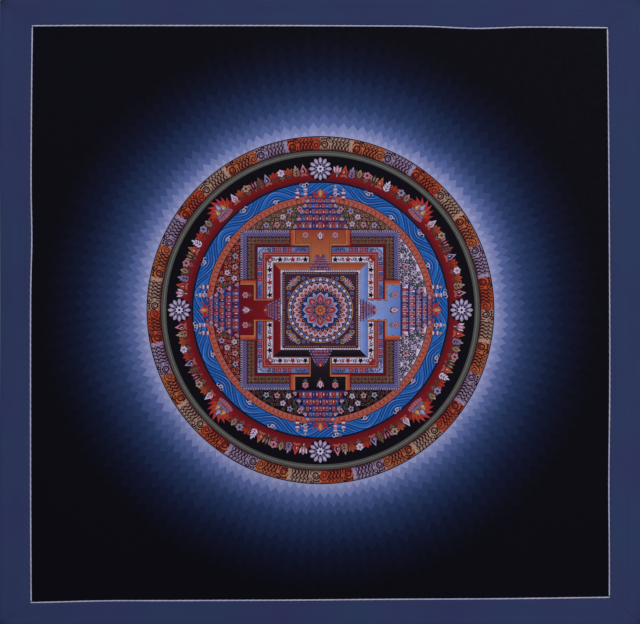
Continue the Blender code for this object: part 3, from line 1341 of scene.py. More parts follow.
def bold(points, width, ends=TAPER):
    """A broad line of the flames."""
    flames.stroke("fills", "maroon", points, width, ends)


def light(points, width, ends=TAPER):
    """A fine line, on top of the broad ones."""
    flames.stroke("lines", "maroon", points, width, ends)


def tongue(foot, sway, curl):
    """One tongue of flame: a wavy line that ends in a small curl, and short lines beside it."""
    wave = [(foot, -5.4), (foot - sway, -2.6), (foot + sway, 0.0), (foot - 0.2, 2.2), (foot + 1.2, 3.9)]
    bold(wave, 1.2, (0.9, 0.4))
    bold(spiral((foot + 1.5, 1.9), 1.3, curl, start=-90, points_per_turn=6), 0.7)
    bold(spiral((foot + 1.0, 4.3), 1.0, -curl, start=90, points_per_turn=6), 0.6)
    light([(foot + 1.3, -5.3), (foot + 1.8, -3.4), (foot + 1.2, -1.2)], 0.9)
    light(arc((foot + 1.5, -0.6), 0.9, -150, 60, 4), 0.6)


def great_curls(start, curled):
    """The two curls that a length of flames starts with, and the lines round them."""
    bold(spiral((start + 3.8, -1.2), 3.5, 1.7 * curled, start=-100), 1.15, (1.0, 0.6))
    bold(spiral((start + 8.4, 2.6), 2.1, -1.4 * curled, start=200), 0.8)
    bold(arc((start + 3.8, -1.2), 4.9, -70, 60, 6), 0.9)
    light([(start + 7.6, -5.3), (start + 8.5, -3.4), (start + 8.0, -1.0)], 0.9)
    for index in range(4):
        above, below = (start + 0.6 + 2.2 * index, 3.2 + 0.3 * index), (start + 1.6 + 2.4 * index, -4.9)
        flames.shape("lines", "maroon", ROUND_PETAL, 1.4, 1.7, above, 40)
        flames.shape("lines", "maroon", ROUND_PETAL, 1.0, 1.2, below, -30)
    light(arc((start + 8.4, 2.6), 3.0, -150, 0, 6), 0.7)


def fine_marks(start):
    """Small arcs along the outer edge and short ticks along the inner one."""
    for index in range(18):
        foot = start + 0.8 + 1.55 * index
        light(arc((foot, 4.3), 0.55, -120, 120, 4), 0.35)
        light([(foot, -5.3), (foot + 0.1, -4.4)], 0.5, (1, 0.6))


for start, curled, tongues in ((0.0, 1, 5), (FIRE_PERIOD, -1, 4)):
    great_curls(start, curled)
    fine_marks(start)
    for index in range(tongues):
        tongue(start + 10.8 + index * 3.1, 0.4 + 0.15 * index, 1.0 * curled)
bold(spiral((FIRE_PERIOD + 25.0, -1.4), 3.0, 1.5, start=0), 1.0)
light(arc((FIRE_PERIOD + 25.0, -1.4), 4.4, -60, 70, 6), 0.8)
wrap(repeat_along(flames.made(), FIRE_UNITS // 2, 2 * FIRE_PERIOD), FIRE_MIDDLE)
print("lengths of flame", FIRE_UNITS)

# %% [markdown]
# ## Lotus buds, jewels, sprigs and flowers
# The black ring carries a wreath of small auspicious things, about 11 mm tall. A function draws each kind in
# any two pigments, with a dark edge round every petal, as a painter outlines each form. Its foot is at the
# middle of the board, so that it can be turned and set down anywhere.

# %% Small ornaments
EDGE = 0.28


def lotus_bud(pigment, second):
    """A bud between two petals and two leaves."""
    bud = Sketch("lotus_bud")
    bud.stroke("shapes", pigment, [(0, -0.6), (0.3, 1.4), (0, 3.4)], 0.9)
    for lean in (-1, 1):
        bud.shape("shapes", "green", LEAF, 1.6, 3.4, (lean * 0.2, 1.6), lean * 62, EDGE)
        bud.shape("fills", pigment, PETAL, 3.0, 7.6, (lean * 0.5, 2.4), lean * 25, EDGE)
    bud.shape("fills", second, BUD, 3.8, 7.6, (0, 2.8), 0, EDGE)
    bud.shape("lines", pigment, PETAL, 1.5, 5.0, (0, 3.8), 0, EDGE)
    return bud.made(lambda x, y: (y - 4) / 12)


def jewel(pigment, second):
    """A drop in a drop, on a seat of five petals."""
    drop = Sketch("jewel")
    drop.shape("shapes", pigment, DROP, 6.4, 9.6, (0, 1.8), 0, EDGE)
    drop.shape("fills", second, DROP, 3.6, 5.8, (0, 2.8), 0, EDGE)
    for lean in (-2, 2, -1, 1, 0):
        drop.shape("fills", "clay", PETAL, 1.8, 2.9, (lean * 0.5, 0.2), lean * 36, EDGE)
    drop.shape("lines", "white", DROP, 1.1, 2.4, (-0.6, 3.8))
    return drop.made(lambda x, y: (y - 2) / 12)


def sprig(pigment, second):
    """A twig with three pairs of leaves and one at its tip."""
    twig = Sketch("sprig")
    twig.stroke("shapes", second, [(0, -0.4), (0.4, 3.6), (0, 8.0)], 0.8, (1, 0.5))
    for index, height in enumerate((0.6, 3.2, 5.8)):
        for lean in (-1, 1):
            leaf = LEAF if lean > 0 else PETAL
            twig.shape("fills", pigment, leaf, 2.1, 4.8 - 0.5 * index, (0, height), lean * 46, EDGE)
    twig.shape("fills", pigment, PETAL, 2.4, 4.6, (0, 6.8), 0, EDGE)
    return twig.made(lambda x, y: (y - 4) / 12)


def blossom(pigment, second):
    """A flower with six petals on a short stem."""
    bloom = Sketch("blossom")
    bloom.stroke("shapes", "green", [(0, -0.6), (-0.5, 2.2), (0, 5.0)], 0.8)
    for lean in (-1, 1):
        bloom.shape("shapes", "green", LEAF, 1.6, 3.2, (0, 1.2), lean * 52, EDGE)
    for index in range(6):
        bloom.shape("fills", pigment, ROUND_PETAL, 3.0, 3.5, (0, 7.0), index * 60, EDGE)
    bloom.shape("lines", second, ROUND_PETAL, 1.8, 2.1, (0, 6.0), 0, EDGE)
    return bloom.made(lambda x, y: math.hypot(x, y - 7) / 6)


ORNAMENTS = {"bud": lotus_bud, "jewel": jewel, "sprig": sprig, "blossom": blossom}
print("kinds of ornament", len(ORNAMENTS))

# %% [markdown]
# ## The wreath
# Five ornaments and seven pairs of pigments take turns along a quarter of the black ring, so that neighbours
# always differ. The quarter has a gap at its ends and its middle for larger things, and is then repeated.

# %% The wreath
WREATH_KINDS = ("bud", "jewel", "sprig", "bud", "blossom")
WREATH_PIGMENTS = (
    ("white", "rose"),
    ("vermilion", "red"),
    ("lilac", "navy"),
    ("brown", "tan"),
    ("rose", "maroon"),
    ("tan", "umber"),
    ("rust", "vermilion"),
)
WREATH_FOOT = 117.2
WREATH_SPAN = (6.9, 37.7)
WREATH_EIGHTH = 11
WREATH_SIZE = 0.92
wreath = []
for index in range(2 * WREATH_EIGHTH):
    kind = WREATH_KINDS[index % len(WREATH_KINDS)]
    ornament = ORNAMENTS[kind](*WREATH_PIGMENTS[index % len(WREATH_PIGMENTS)])
    share = (index % WREATH_EIGHTH) / (WREATH_EIGHTH - 1)
    angle = WREATH_SPAN[0] + (WREATH_SPAN[1] - WREATH_SPAN[0]) * share
    if index >= WREATH_EIGHTH:
        angle = 90 - angle
    wreath += on_circle(ornament, WREATH_FOOT, angle, WREATH_SIZE)
    rub_out(ornament)
repeat_round(gathered(wreath), 4)
print("ornaments in the wreath", 8 * WREATH_EIGHTH)

# %% [markdown]
# ## Rosettes and flaming jewels
# At the four quarters stands a pale lotus rosette, and between them a jewel in flames. Both are drawn upright
# round their own middle, and then copied out to the black ring.

# %% Rosettes
ROSETTE_AT = 122.8
ROSETTE_RADIUS = 10.4
HUB, HUB_RIM = 0.41, 0.47  # shares of the radius


def rosette(radius, outer, inner, heart):
    """A round of twelve petals about a hub with eight."""
    parts = [disc("shapes", "black", radius, points=32), disc("fills", heart, radius * HUB, points=20)]
    flower = Sketch("rosette")
    for turn in range(0, 360, 30):
        foot, inner_foot = on_spoke(radius * 0.42, turn), on_spoke(radius * 0.52, turn)
        flower.shape("fills", outer, BROAD_PETAL, radius * 0.29, radius * 0.54, foot, turn, EDGE)
        flower.shape("lines", inner, PETAL, radius * 0.13, radius * 0.30, inner_foot, turn)
    for turn in range(0, 360, 45):
        flower.shape("lines", inner, PETAL, radius * 0.20, radius * 0.38, turn=turn + 22.5)
    parts.append(ring("lines", outer, radius * HUB, radius * HUB_RIM))
    parts += moved([disc("lines", "black", radius * 0.11)], lift=SKETCH_DEPTH)
    return gathered(parts + flower.made(lambda x, y: math.hypot(x, y) / radius))


pale = rosette(ROSETTE_RADIUS, "lilac", "white", "navy")
repeat_round(moved(pale, at=(0, ROSETTE_AT)), 4)
print("rosettes", 4, "of", round(2 * ROSETTE_RADIUS, 1), "mm")

# %% Flaming jewels
JEWELS_AT = ROSETTE_AT - 0.3
JEWELS_SIZE = 0.96
OUTER_FLAMES = (-84, 84, -62, 62, -40, 40, -20, 20, 0)
INNER_FLAMES = (-74, 74, -50, 50, -26, 26, 0)
SEAT_PETALS = (-3, 3, -2, 2, -1, 1, 0)


def flaming_jewels():
    """Three drops on a lotus seat in a halo of flames."""
    flame = Sketch("flaming_jewels")
    for lean in OUTER_FLAMES:
        tall = 14.6 - abs(lean) * 0.04
        flame.shape("shapes", "red", TONGUE, 7.6, tall, (lean * 0.04, -2.4), lean, EDGE, "maroon")
    for lean in INNER_FLAMES:
        flame.shape("fills", "vermilion", TONGUE, 4.0, 8.6, (lean * 0.05, -1.6), lean, EDGE, "dark_red")
    for lean in SEAT_PETALS:
        foot = (lean * 1.5, -4.6)
        flame.shape("fills", "rose", BROAD_PETAL, 3.4, 4.6, foot, 180 - lean * 16, EDGE)
        flame.shape("fills", "lilac", BROAD_PETAL, 2.6, 3.2, foot, lean * 14, EDGE)
    for across, up, pigment in ((-3.5, -2.6, "gold"), (3.5, -2.6, "gold"), (0.0, 0.4, "sky")):
        flame.shape("lines", pigment, DROP, 4.4, 6.4, (across, up), 0, EDGE)
        flame.shape("lines", "white", DROP, 1.0, 2.4, (across - 0.6, up + 1.6))
    return flame.made(lambda x, y: (y + 3) / 12)


burning = flaming_jewels()
repeat_round(gathered(on_circle(burning, JEWELS_AT, 45, JEWELS_SIZE)), 4)
rub_out(burning)
print("flaming jewels", 4)

# %% [markdown]
# ## Water and the ring of petals
# The blue ring is water. Its waves are lines that run side by side like the grain of wood: they swing from
# one edge of the ring to the other, and round each bend they close in on a small white eddy. Lines that keep
# one distance from a sine wave do just that. Inside the water runs a ring of fine petals, the edge of the
# lotus that carries the palace.

# %% Lines beside a wave
WATER_MIDDLE = 105.3
WATER_HALF = 5.2
WAVE_UNITS = 12
WAVE_PERIOD = math.tau * WATER_MIDDLE / WAVE_UNITS
WAVE_SWING = 6.4
WAVE_STEP = 2.2


def beside_wave(x, offset):
    """A point at this distance from a sine wave."""
    angle = math.tau * x / WAVE_PERIOD
    slope = WAVE_SWING * math.tau / WAVE_PERIOD * math.cos(angle)
    length = math.hypot(1, slope)
    return x - slope * offset / length, WAVE_SWING * math.sin(angle) + offset / length


def runs_in_water(offset):
    """The stretches of a line beside the wave that lie in the ring and start in its first period."""
    runs, run = [], []
    for step in range(round(2.5 * WAVE_PERIOD / WAVE_STEP)):
        point = beside_wave(step * WAVE_STEP - WAVE_PERIOD / 2, offset)
        if abs(point[1]) < WATER_HALF:
            run.append(point)
        elif run:
            runs.append(run)
            run = []
    return [found for found in runs if len(found) > 2 and 0 <= found[0][0] < WAVE_PERIOD]


print("stretches of the middle line in the ring", len(runs_in_water(0.0)))

# %% Waves
WAVE_APART = 2.2
WAVE_LINES = range(-5, 6)
waves = Sketch("waves")
for index in WAVE_LINES:
    for run in runs_in_water(WAVE_APART * (index - 0.5)):
        waves.stroke("fills", "deep_blue", run, 1.15, (0.5, 0.5))
    for run in runs_in_water(WAVE_APART * index):
        waves.stroke("fills", "sky" if index % 2 else "blue", run, 0.5, (0.3, 0.3))
for bend, up in ((0.25, -1), (0.75, 1)):  # an eddy at each bend
    x, edge = bend * WAVE_PERIOD, up * WATER_HALF
    waves.shape("lines", "black", ROUND_PETAL, 3.4, 6.2, (x - 3.0, edge * 0.84), 90)
    waves.stroke("lines", "white", spiral((x - 0.2, edge * 0.80), 1.9, -1.3 * up, start=-90), 0.8, (1, 0.4))
    waves.stroke("lines", "white", arc((x + 2.4, edge * 0.86), 1.3, -60 * up, 130 * up, 4), 0.7, (1, 0.4))
    waves.stroke("lines", "sky", arc((x - 2.2, edge * 0.86), 1.3, -160 * up, 60 * up, 5), 0.6, (1, 0.4))
wrap(repeat_along(waves.made(lambda x, y: 0.5), WAVE_UNITS, WAVE_PERIOD), WATER_MIDDLE)
print("waves", WAVE_UNITS)

# %% Fine petals on clay
EVEN = (1, 1)
PETALS_ROUND = 144
PETAL_MIDDLE = 96.9
fine_petals = Sketch("fine_petals")
petal_line = [(0.2, -2.2), (0.5, 0.6), (2.1, 1.9), (3.7, 0.6), (4.0, -2.2)]
fine_petals.stroke("fills", "vermilion", petal_line, 0.55, EVEN)
fine_petals.stroke("fills", "tan", [(2.1, -2.1), (2.1, 0.4)], 0.6, (1, 0.4))
wrap(repeat_along(fine_petals.made(), PETALS_ROUND, math.tau * PETAL_MIDDLE / PETALS_ROUND), PETAL_MIDDLE)
print("petals round", PETALS_ROUND)

# %% [markdown]
# ## The four fields
# Between the ring of petals and the palace lie four fields, one for each quarter of the sky and each in its
# own colour. Flowers with five petals stand on them, and every space between is filled with curls and small
# leaves. A quarter is a fan of quads, turned to its place. Flowers and curls are drawn on the right half of
# the top field, and mirrored.

# %% Quarters and their pigments
Quarter = namedtuple("Quarter", "field dark light court")
QUARTERS = (  # clockwise from the top
    Quarter(field="brown", dark="maroon", light="tan", court="rust"),
    Quarter(field="white", dark="black", light="lilac", court="sky"),
    Quarter(field="black", dark="black", light="brown", court="black"),
    Quarter(field="dark_red", dark="maroon", light="clay", court="dark_red"),
)
FIELD_INNER, FIELD_OUTER = 55.0, 93.5


def fan(pigment, turn):
    """A quarter of a round field."""

    def place(across, up):
        angle, radius = math.radians(90 * across - 45), FIELD_INNER + (FIELD_OUTER - FIELD_INNER) * up
        return radius * math.sin(angle), radius * math.cos(angle), 0

    return moved([on_coat(grid("field", 36, 8, place), "grounds", pigment)], turn=turn)


# %% Flowers
FLOWER_KINDS = (("white", "red"), ("rose", "maroon"), ("lilac", "navy"))
FLOWERS = ((27.6, 74.8), (37.6, 74.2), (47.0, 73.8), (32.6, 81.0), (17.8, 87.8), (26.6, 85.9))  # across, up


def flower(pigment, second):
    """Five petals, each with a dark vein, round a heart."""
    bloom = Sketch("flower")
    for turn in range(0, 360, 72):
        bloom.shape("shapes", pigment, ROUND_PETAL, 2.0, 2.3, on_spoke(0.2, turn), turn, 0.2)
        bloom.stroke("fills", "black", [on_spoke(0.8, turn), on_spoke(1.6, turn)], 0.3, (0.9, 0.4))
    return bloom.made(lambda x, y: math.hypot(x, y) / 2.6) + [disc("lines", second, 0.75, points=8)]


# %% Curls between the flowers
CURL_ROWS = ((71.8, 22.6), (75.2, 22.4), (78.6, 20.0), (82.0, 17.2), (85.4, 14.4), (88.8, 12.6), (91.6, 10.4))
CURL_APART = 3.5
CLEAR_OF_RIM, CLEAR_OF_FLOWER = 1.2, 2.4


def curl_spots():
    """Places in rows between the tower and the rim, clear of the flowers."""
    spots = []
    for row, (up, first) in enumerate(CURL_ROWS):
        across = first + CURL_APART / 2 * (row % 2)
        while math.hypot(across, up) < FIELD_OUTER - CLEAR_OF_RIM:
            if all(math.dist((across, up), at) > CLEAR_OF_FLOWER for at in FLOWERS):
                spots.append((across, up))
            across += CURL_APART
    return spots


def field_curls(dark, light):
    """Small curls and leaves that fill the ground between the flowers."""
    fill = Sketch("field_curls")
    for index, (across, up) in enumerate(curl_spots()):
        way = 1 if index % 2 else -1
        fill.stroke("blocks", dark, spiral((across, up), 2.1, way * 1.3, start=index * 50), 1.0, (0.7, 1))
        fill.stroke("blocks", light, spiral((across + 0.4, up + 0.4), 1.7, way * 1.2, start=index * 50), 0.85)
        leaf = "green" if index % 3 else light
        fill.shape("blocks", leaf, LEAF, 1.5, 2.8, (across + 1.5 * way, up - 1.6), 40 * way + index * 25, 0.2)
    return fill.made()


print("curls in half a field", len(curl_spots()))

# %% Planting the fields
for index, quarter in enumerate(QUARTERS):
    fan(quarter.field, 90 * index)
    moved(mirrored(field_curls(quarter.dark, quarter.light)), turn=90 * index)
bed = []
blooms = [flower(*kind) for kind in FLOWER_KINDS]
for index, at in enumerate(FLOWERS):
    bed += copied(blooms[index % len(blooms)], at=at, turn=40 * index)
rub_out(sum(blooms, []))
repeat_round(mirrored(gathered(bed)), 4)
print("flowers in the fields", 8 * len(FLOWERS))

# %% [markdown]
# ## The palace walls
# The palace is seen from above: square walls, one inside the other, each a narrow frame in its own colour.
# One side of a frame is a strip with mitred ends, turned four times round. The court between the walls takes
# the colour of its quarter. Two frames are shaded, deep by the gates and pale at the corners.

# %% Frames
FRAMES = (
    Band(67.1, 69.6, "lilac"),
    Band(63.8, 67.1, "navy"),
    Band(63.3, 63.8, "brown"),
    Band(57.9, 63.3, "umber"),
    Band(57.4, 57.9, "gold"),
    Band(55.6, 57.4, "dark_red"),
    Band(54.6, 55.6, "plum"),
    Band(50.8, 54.6, "dusk"),
    Band(49.7, 50.8, "rose"),
    Band(49.0, 49.7, "red"),
    Band(47.7, 49.0, "clay"),
    Band(47.1, 47.7, "red"),
    Band(46.4, 47.1, "tan"),
    Band(41.4, 46.4, "white"),
    Band(40.8, 41.4, "tan"),
    Band(33.2, 34.6, "white"),
)
COURT_INNER, COURT_OUTER = 34.6, 40.8
SHADED_FRAMES = ("dusk", "navy")
HALF_HAIRLINE, HAIRLINE_LIFT = 0.12, 0.02


def side_strip(coat, pigment, inner, outer, shade=None):
    """The top side of a square frame, with mitred ends."""

    def place(across, up):
        reach = inner + (outer - inner) * up
        return (2 * across - 1) * reach, reach, 0

    columns, rows = max(2, round(2 * outer / CELL)), max(1, round((outer - inner) / CELL))
    strip = grid(f"side_{pigment}", columns, rows, place)
    if shade is not None:
        set_shade(strip, shade)
    return on_coat(strip, coat, pigment)


def from_gate(x, y):
    """Deep by the gate and pale at the corner."""
    return abs(x) / y * 1.3 - 0.3


for piece in FRAMES:
    hairline = side_strip("blocks", "black", piece.outer - HALF_HAIRLINE, piece.outer + HALF_HAIRLINE)
    moved([hairline], lift=HAIRLINE_LIFT)
    shade = from_gate if piece.pigment in SHADED_FRAMES else None
    repeat_round([hairline, side_strip("blocks", piece.pigment, piece.inner, piece.outer, shade)], 4)
for index, quarter in enumerate(QUARTERS):
    side = side_strip("blocks", quarter.court, COURT_INNER, COURT_OUTER, lambda x, y: (COURT_OUTER - y) / 10)
    moved([side], turn=90 * index)
print("walls", len(FRAMES))

# %% [markdown]
# ## Patterns on the walls
# Each wall has its own small pattern, such as dots, a lattice, scrolls or stars on a vine. One period of it
# is drawn, repeated along the right half of the top wall, mirrored, and taken round to the other three, as a
# stencil would be moved along.


# %% Patterns on the outer walls
def on_walls(things, count, period, start, middle):
    """A strip pattern on the right half of the top wall, repeated, mirrored and taken round."""
    moved(repeat_along(things, count, period), at=(start, middle))
    repeat_round(mirrored(things), 4)
    print("a pattern repeated", 8 * count, "times")


dots = Sketch("dots")
dots.shape("fills", "navy", ROUND_PETAL, 0.9, 1.3, (0.5, -0.65))
dots.stroke("fills", "white", [(1.1, 0.7), (1.6, -0.6)], 0.3, EVEN)
on_walls(dots.made(), count=21, period=2.0, start=26.8, middle=68.6)
lattice = Sketch("lattice")
lattice.stroke("fills", "sky", [(0, -1.7), (1.05, 0), (2.1, 1.7)], 0.55, EVEN)
lattice.stroke("fills", "lilac", [(0, 1.7), (1.05, 0), (2.1, -1.7)], 0.55, EVEN)
lattice.shape("lines", "rose", ROUND_PETAL, 0.9, 1.0, (1.05, -0.5))
on_walls(lattice.made(), count=19, period=2.1, start=26.8, middle=65.7)

# %% Scrolls on the brown wall
scroll = Sketch("wall_scroll")
for row, up in enumerate((-1.45, 1.45)):
    for index in range(2):
        way = 1 if (row + index) % 2 else -1
        foot = (1.5 + 3.0 * index, up)
        scroll.stroke("fills", "brown", spiral(foot, 1.5, way * 1.3, start=90 * way), 0.75, (0.8, 1))
        scroll.stroke("lines", "tan", spiral(foot, 1.3, way * 0.9, start=90 * way, points_per_turn=6), 0.35)
scroll.shape("lines", "red", ROUND_PETAL, 0.9, 1.2, (3.0, -0.6))
scroll.shape("lines", "green", ROUND_PETAL, 0.9, 1.2, (0.0, -0.6))
on_walls(scroll.made(), count=6, period=6.0, start=26.9, middle=60.6)

# %% Panels and clouds
PANELS = (("red", 0.4, 3.6), ("rose", 3.9, 5.1), ("deep_blue", 5.4, 8.2))  # pigment, left, right
PANEL_HALF = 1.7
panels = [tile("shapes", pigment, left, right, -PANEL_HALF, PANEL_HALF) for pigment, left, right in PANELS]
marks = Sketch("panel_marks")
marks.shape("fills", "clay", PETAL, 1.9, 2.9, (2.0, -1.5), 0, 0.2)
marks.shape("fills", "rose", PETAL, 1.4, 2.7, (6.8, -1.4), 0, 0.2)
marks.stroke("fills", "maroon", [(4.5, -1.5), (4.5, 1.5)], 0.5, EVEN)
on_walls(gathered(panels + marks.made()), count=2, period=9.0, start=24.6, middle=52.5)
clouds = Sketch("clouds")
for index in range(5):
    clouds.stroke("fills", "umber", spiral((1.8 * index, 0.9 * (index % 2) - 0.5), 1.2, 0.9, start=-90), 0.6)
on_walls(clouds.made(), count=2, period=30.4, start=13.4, middle=52.5)

# %% Stars, vines and beads on the white walls
white_wall = Sketch("white_wall")
for middle, pigment in ((2.6, "black"), (13.6, "red")):
    for turn in range(0, 360, 72):
        white_wall.shape("fills", pigment, PETAL, 1.7, 2.6, (middle, 0), turn)
    vine = [(middle + 3.0, -1.4), (middle + 4.4, -0.4), (middle + 6.4, -1.0), (middle + 7.8, 1.0)]
    white_wall.stroke("fills", "green", vine, 0.6)
    for index, petal in enumerate(("rose", "blue", "clay", "brown")):
        foot = (middle + 3.6 + 1.2 * index, -1.0 + 0.3 * index)
        white_wall.shape("fills", petal, LEAF, 1.5, 2.4, foot, -40 + 35 * (index % 3), 0.15)
    white_wall.stroke("lines", "lilac", spiral((middle + 8.0, -1.2), 1.0, 0.9, start=180), 0.5)
on_walls(white_wall.made(), count=2, period=22.0, start=10.4, middle=43.9)
on_walls([tile("fills", "navy", 0, 0.7, -0.4, 0.4)], count=17, period=1.6, start=5.2, middle=33.9)

# %% [markdown]
# ## Gates
# In the middle of each side the walls open as a gate in the shape of a T. Its floor has the colour of its
# quarter, and its posts step in and out as narrow frames, drawn on the right half and mirrored. Flowers
# stand on its beam as offerings.

# %% Gates
GATE_HALF, HEAD_HALF, POST_OUTER = 8.5, 22.0, 26.4
GATE_FOOT, HEAD_FOOT, HEAD_TOP = 40.8, 57.8, 69.6
POST_FOOT, BEAM_LOW, BEAM_HIGH = 41.4, 55.6, 56.4
for index, quarter in enumerate(QUARTERS):
    floor_shade, head_shade = (lambda across, up: 0.8 - 0.5 * up), (lambda across, up: 0.3 - 0.3 * up)
    gate = [
        tile("shapes", quarter.court, -GATE_HALF, GATE_HALF, GATE_FOOT, HEAD_FOOT, floor_shade),
        tile("shapes", quarter.court, -HEAD_HALF, HEAD_HALF, HEAD_FOOT, HEAD_TOP, head_shade),
    ]
    moved(gate, turn=90 * index)
print("gates", len(QUARTERS))

# %% Posts
POSTS = (  # pigment, left, right, low, high
    ("black", 8.1, GATE_HALF, POST_FOOT, 58.2),
    ("black", GATE_HALF, HEAD_HALF, HEAD_FOOT, 58.2),
    ("black", 21.6, HEAD_HALF, 58.2, HEAD_TOP),
    ("gold", GATE_HALF, 9.2, POST_FOOT, BEAM_HIGH),
    ("red", 9.2, 10.2, POST_FOOT, BEAM_LOW),
    ("gold", GATE_HALF, 22.8, BEAM_HIGH, HEAD_FOOT),
    ("red", 9.2, POST_OUTER, BEAM_LOW, BEAM_HIGH),
    ("gold", HEAD_HALF, 22.8, HEAD_FOOT, HEAD_TOP),
)
posts = [tile("shapes", *post) for post in POSTS]
posts += [tile("shapes", "vermilion", 22.8, POST_OUTER, BEAM_HIGH, HEAD_TOP, lambda across, up: 1 - across)]
posts += [tile("fills", "dark_red", 25.8, POST_OUTER, BEAM_HIGH, HEAD_TOP)]
scrolls = Sketch("post_scrolls")
for index in range(5):
    curl = spiral((24.3, 58.4 + 2.4 * index), 0.9, 0.9, start=90 * index)
    scrolls.stroke("lines", "clay", curl, 0.4, (1, 0.5))
repeat_round(mirrored(gathered(posts + scrolls.made())), 4)
print("frames of a post", len(POSTS))

# %% Offerings
OFFERINGS = ((-13.0, blossom, "clay"), (0.0, lotus_bud, "white"), (13.0, blossom, "clay"))
guests = []
for across, draw, second in OFFERINGS:
    guests += moved(draw("rose", second), at=(across, 59.6), size=0.80, lift=0.05)
repeat_round(gathered(guests), 4)
print("offerings at the gates", 4 * len(OFFERINGS))

# %% [markdown]
# ## Towers
# On each gate stands a tower of tiers with turned-up eaves. Its tiers are rows of coloured cells, each with a
# petal in it, and they get narrower and lower towards the jewel on top. The tower is drawn once. A smaller
# copy marks the inner gate.

# %% Tiers
Tier = namedtuple("Tier", "low high half cells")
TIERS = (  # the cells are those from the middle to the right end
    Tier(71.4, 76.2, 19.0, ("rose", "red", "deep_blue", "rose", "vermilion", "lilac", "red")),
    Tier(78.0, 82.2, 15.6, ("deep_blue", "rose", "red", "lilac", "vermilion", "blue")),
    Tier(84.0, 87.6, 12.8, ("rose", "vermilion", "lilac", "deep_blue", "rose")),
    Tier(89.2, 92.2, 10.2, ("red", "rose", "blue", "lilac")),
    Tier(93.8, 96.4, 8.0, ("rose", "vermilion", "lilac")),
)
print("cells in the tiers", [2 * len(tier.cells) - 1 for tier in TIERS])

# %% A tower of tiers
TOWER_FOOT = 69.6
EAVE_OUT, EAVE_TALL = 2.4, 1.6
CELL_GAP = 0.35


def upwards(across, up):
    """A shade that grows from the foot to the top."""
    return up


def tier_cells(tier, detail):
    """The cells of a tier, each with a petal in a petal."""
    wide, tall = 2 * tier.half / (2 * len(tier.cells) - 1), tier.high - tier.low
    cells = []
    for index, pigment in enumerate([*reversed(tier.cells[1:]), *tier.cells]):
        left = -tier.half + index * wide
        middle = left + wide / 2
        cells.append(tile("shapes", pigment, left, left + wide - CELL_GAP, tier.low, tier.high))
        detail.shape("fills", "maroon", ROUND_PETAL, wide * 0.62, tall - 0.7, (middle, tier.low + 0.2))
        inside = "white" if index % 2 else "clay"
        detail.shape("lines", inside, PETAL, wide * 0.36, tall - 1.6, (middle, tier.low + 0.4))
    return cells


def tier_eave(tier, detail):
    """The eave on a tier, with a turned-up tip and two leaves at each end."""
    reach = tier.half + EAVE_OUT
    eave = tile("shapes", "navy", -reach, reach, tier.high, tier.high + EAVE_TALL, upwards)
    for side in (-1, 1):
        tip, foot = (side * (reach - 0.8), tier.high + 0.2), (side * (tier.half + 1.8), tier.low)
        detail.shape("fills", "deep_blue", TONGUE, 1.8, 3.4, tip, side * 42)
        detail.shape("lines", "rose", ROUND_PETAL, 2.2, 3.4, foot, side * 24, 0.2)
        detail.shape("fills", "lilac", ROUND_PETAL, 2.2, 3.4, foot, side * 68, 0.2)
    return eave


def tower():
    """Tiers under dark eaves, with a jewel in flames on top."""
    parts = [tile("shapes", "navy", -HEAD_HALF, HEAD_HALF, TOWER_FOOT, TIERS[0].low, upwards)]
    detail = Sketch("tower_detail")
    for tier in TIERS:
        parts += [*tier_cells(tier, detail), tier_eave(tier, detail)]
    parts.append(tile("shapes", "gold", -8.6, 8.6, 98.0, 98.8))
    detail.shape("fills", "vermilion", BROAD_PETAL, 6.0, 6.4, (0, 98.6))
    detail.shape("lines", "gold", DROP, 3.0, 5.4, (0, 99.4))
    for lean, pigment in ((-64, "deep_blue"), (-40, "red"), (40, "red"), (64, "deep_blue")):
        detail.shape("fills", pigment, TONGUE, 3.0, 7.6, (lean * 0.07, 98.4), lean)
    return parts + detail.made(lambda x, y: (y % 4) / 4)


# %% [markdown]
# ## Banners
# Beside each tower, over the water, stand poles with striped victory banners. A banner narrows downwards, so
# it is four broad strokes, each a little shorter than the one above, with a finial on top and a streamer that
# blows outwards.

# %% Banners
Banner = namedtuple("Banner", "reach tall first second")
BANNERS = (Banner(13.0, 11.6, "white", "rose"), Banner(20.0, 9.4, "white", "red"))


def draw_banner(cloth, banner, side):
    """A banner on its pole, on one side of the tower."""
    x, foot = side * banner.reach, 97.6 - banner.reach * 0.12
    top = foot + banner.tall
    cloth.stroke("lines", "tan", [(x, foot), (x, top)], 0.5, EVEN)
    for index in range(4):
        pigment = banner.second if index % 2 else banner.first
        half, low = (3.4 - 0.3 * index) / 2, top - 2.6 - 1.9 * index
        cloth.stroke("lines", pigment, [(x - half, low), (x, low - 0.3), (x + half, low)], 1.5, EVEN)
    cloth.shape("lines", "gold", DROP, 2.0, 2.8, (x, top - 1.2), 0, 0.15)
    tail = [(x + side * out, top - down) for out, down in ((1.2, 8.0), (2.8, 6.0), (4.4, 7.4))]
    cloth.stroke("lines", "sky", tail, 0.8, (0.4, 0.3))


def banners():
    """Two banners on each side of the tower."""
    cloth = Sketch("banners")
    for side in (-1, 1):
        for banner in BANNERS:
            draw_banner(cloth, banner, side)
    return cloth.made(lambda x, y: (y - 98) / 14)


# %% Raising the towers
great = gathered(tower())
small = copied(great, size=0.42, at=(0, 5.2), lift=0.02)
repeat_round(small, 4)
repeat_round(gathered(great + banners()), 4)
print("tiers on a tower", len(TIERS), "and banners beside it", 2 * len(BANNERS))

# %% [markdown]
# ## The lotus in the middle
# At the heart of the palace lies an open lotus on a dark square. From outside in it has a gold rim, a ring of
# small petals on navy, a ring of 28 petals on dark red, a ring of beads, and eight great petals round a gold
# seed head. A spray of leaves fills each corner of the square.

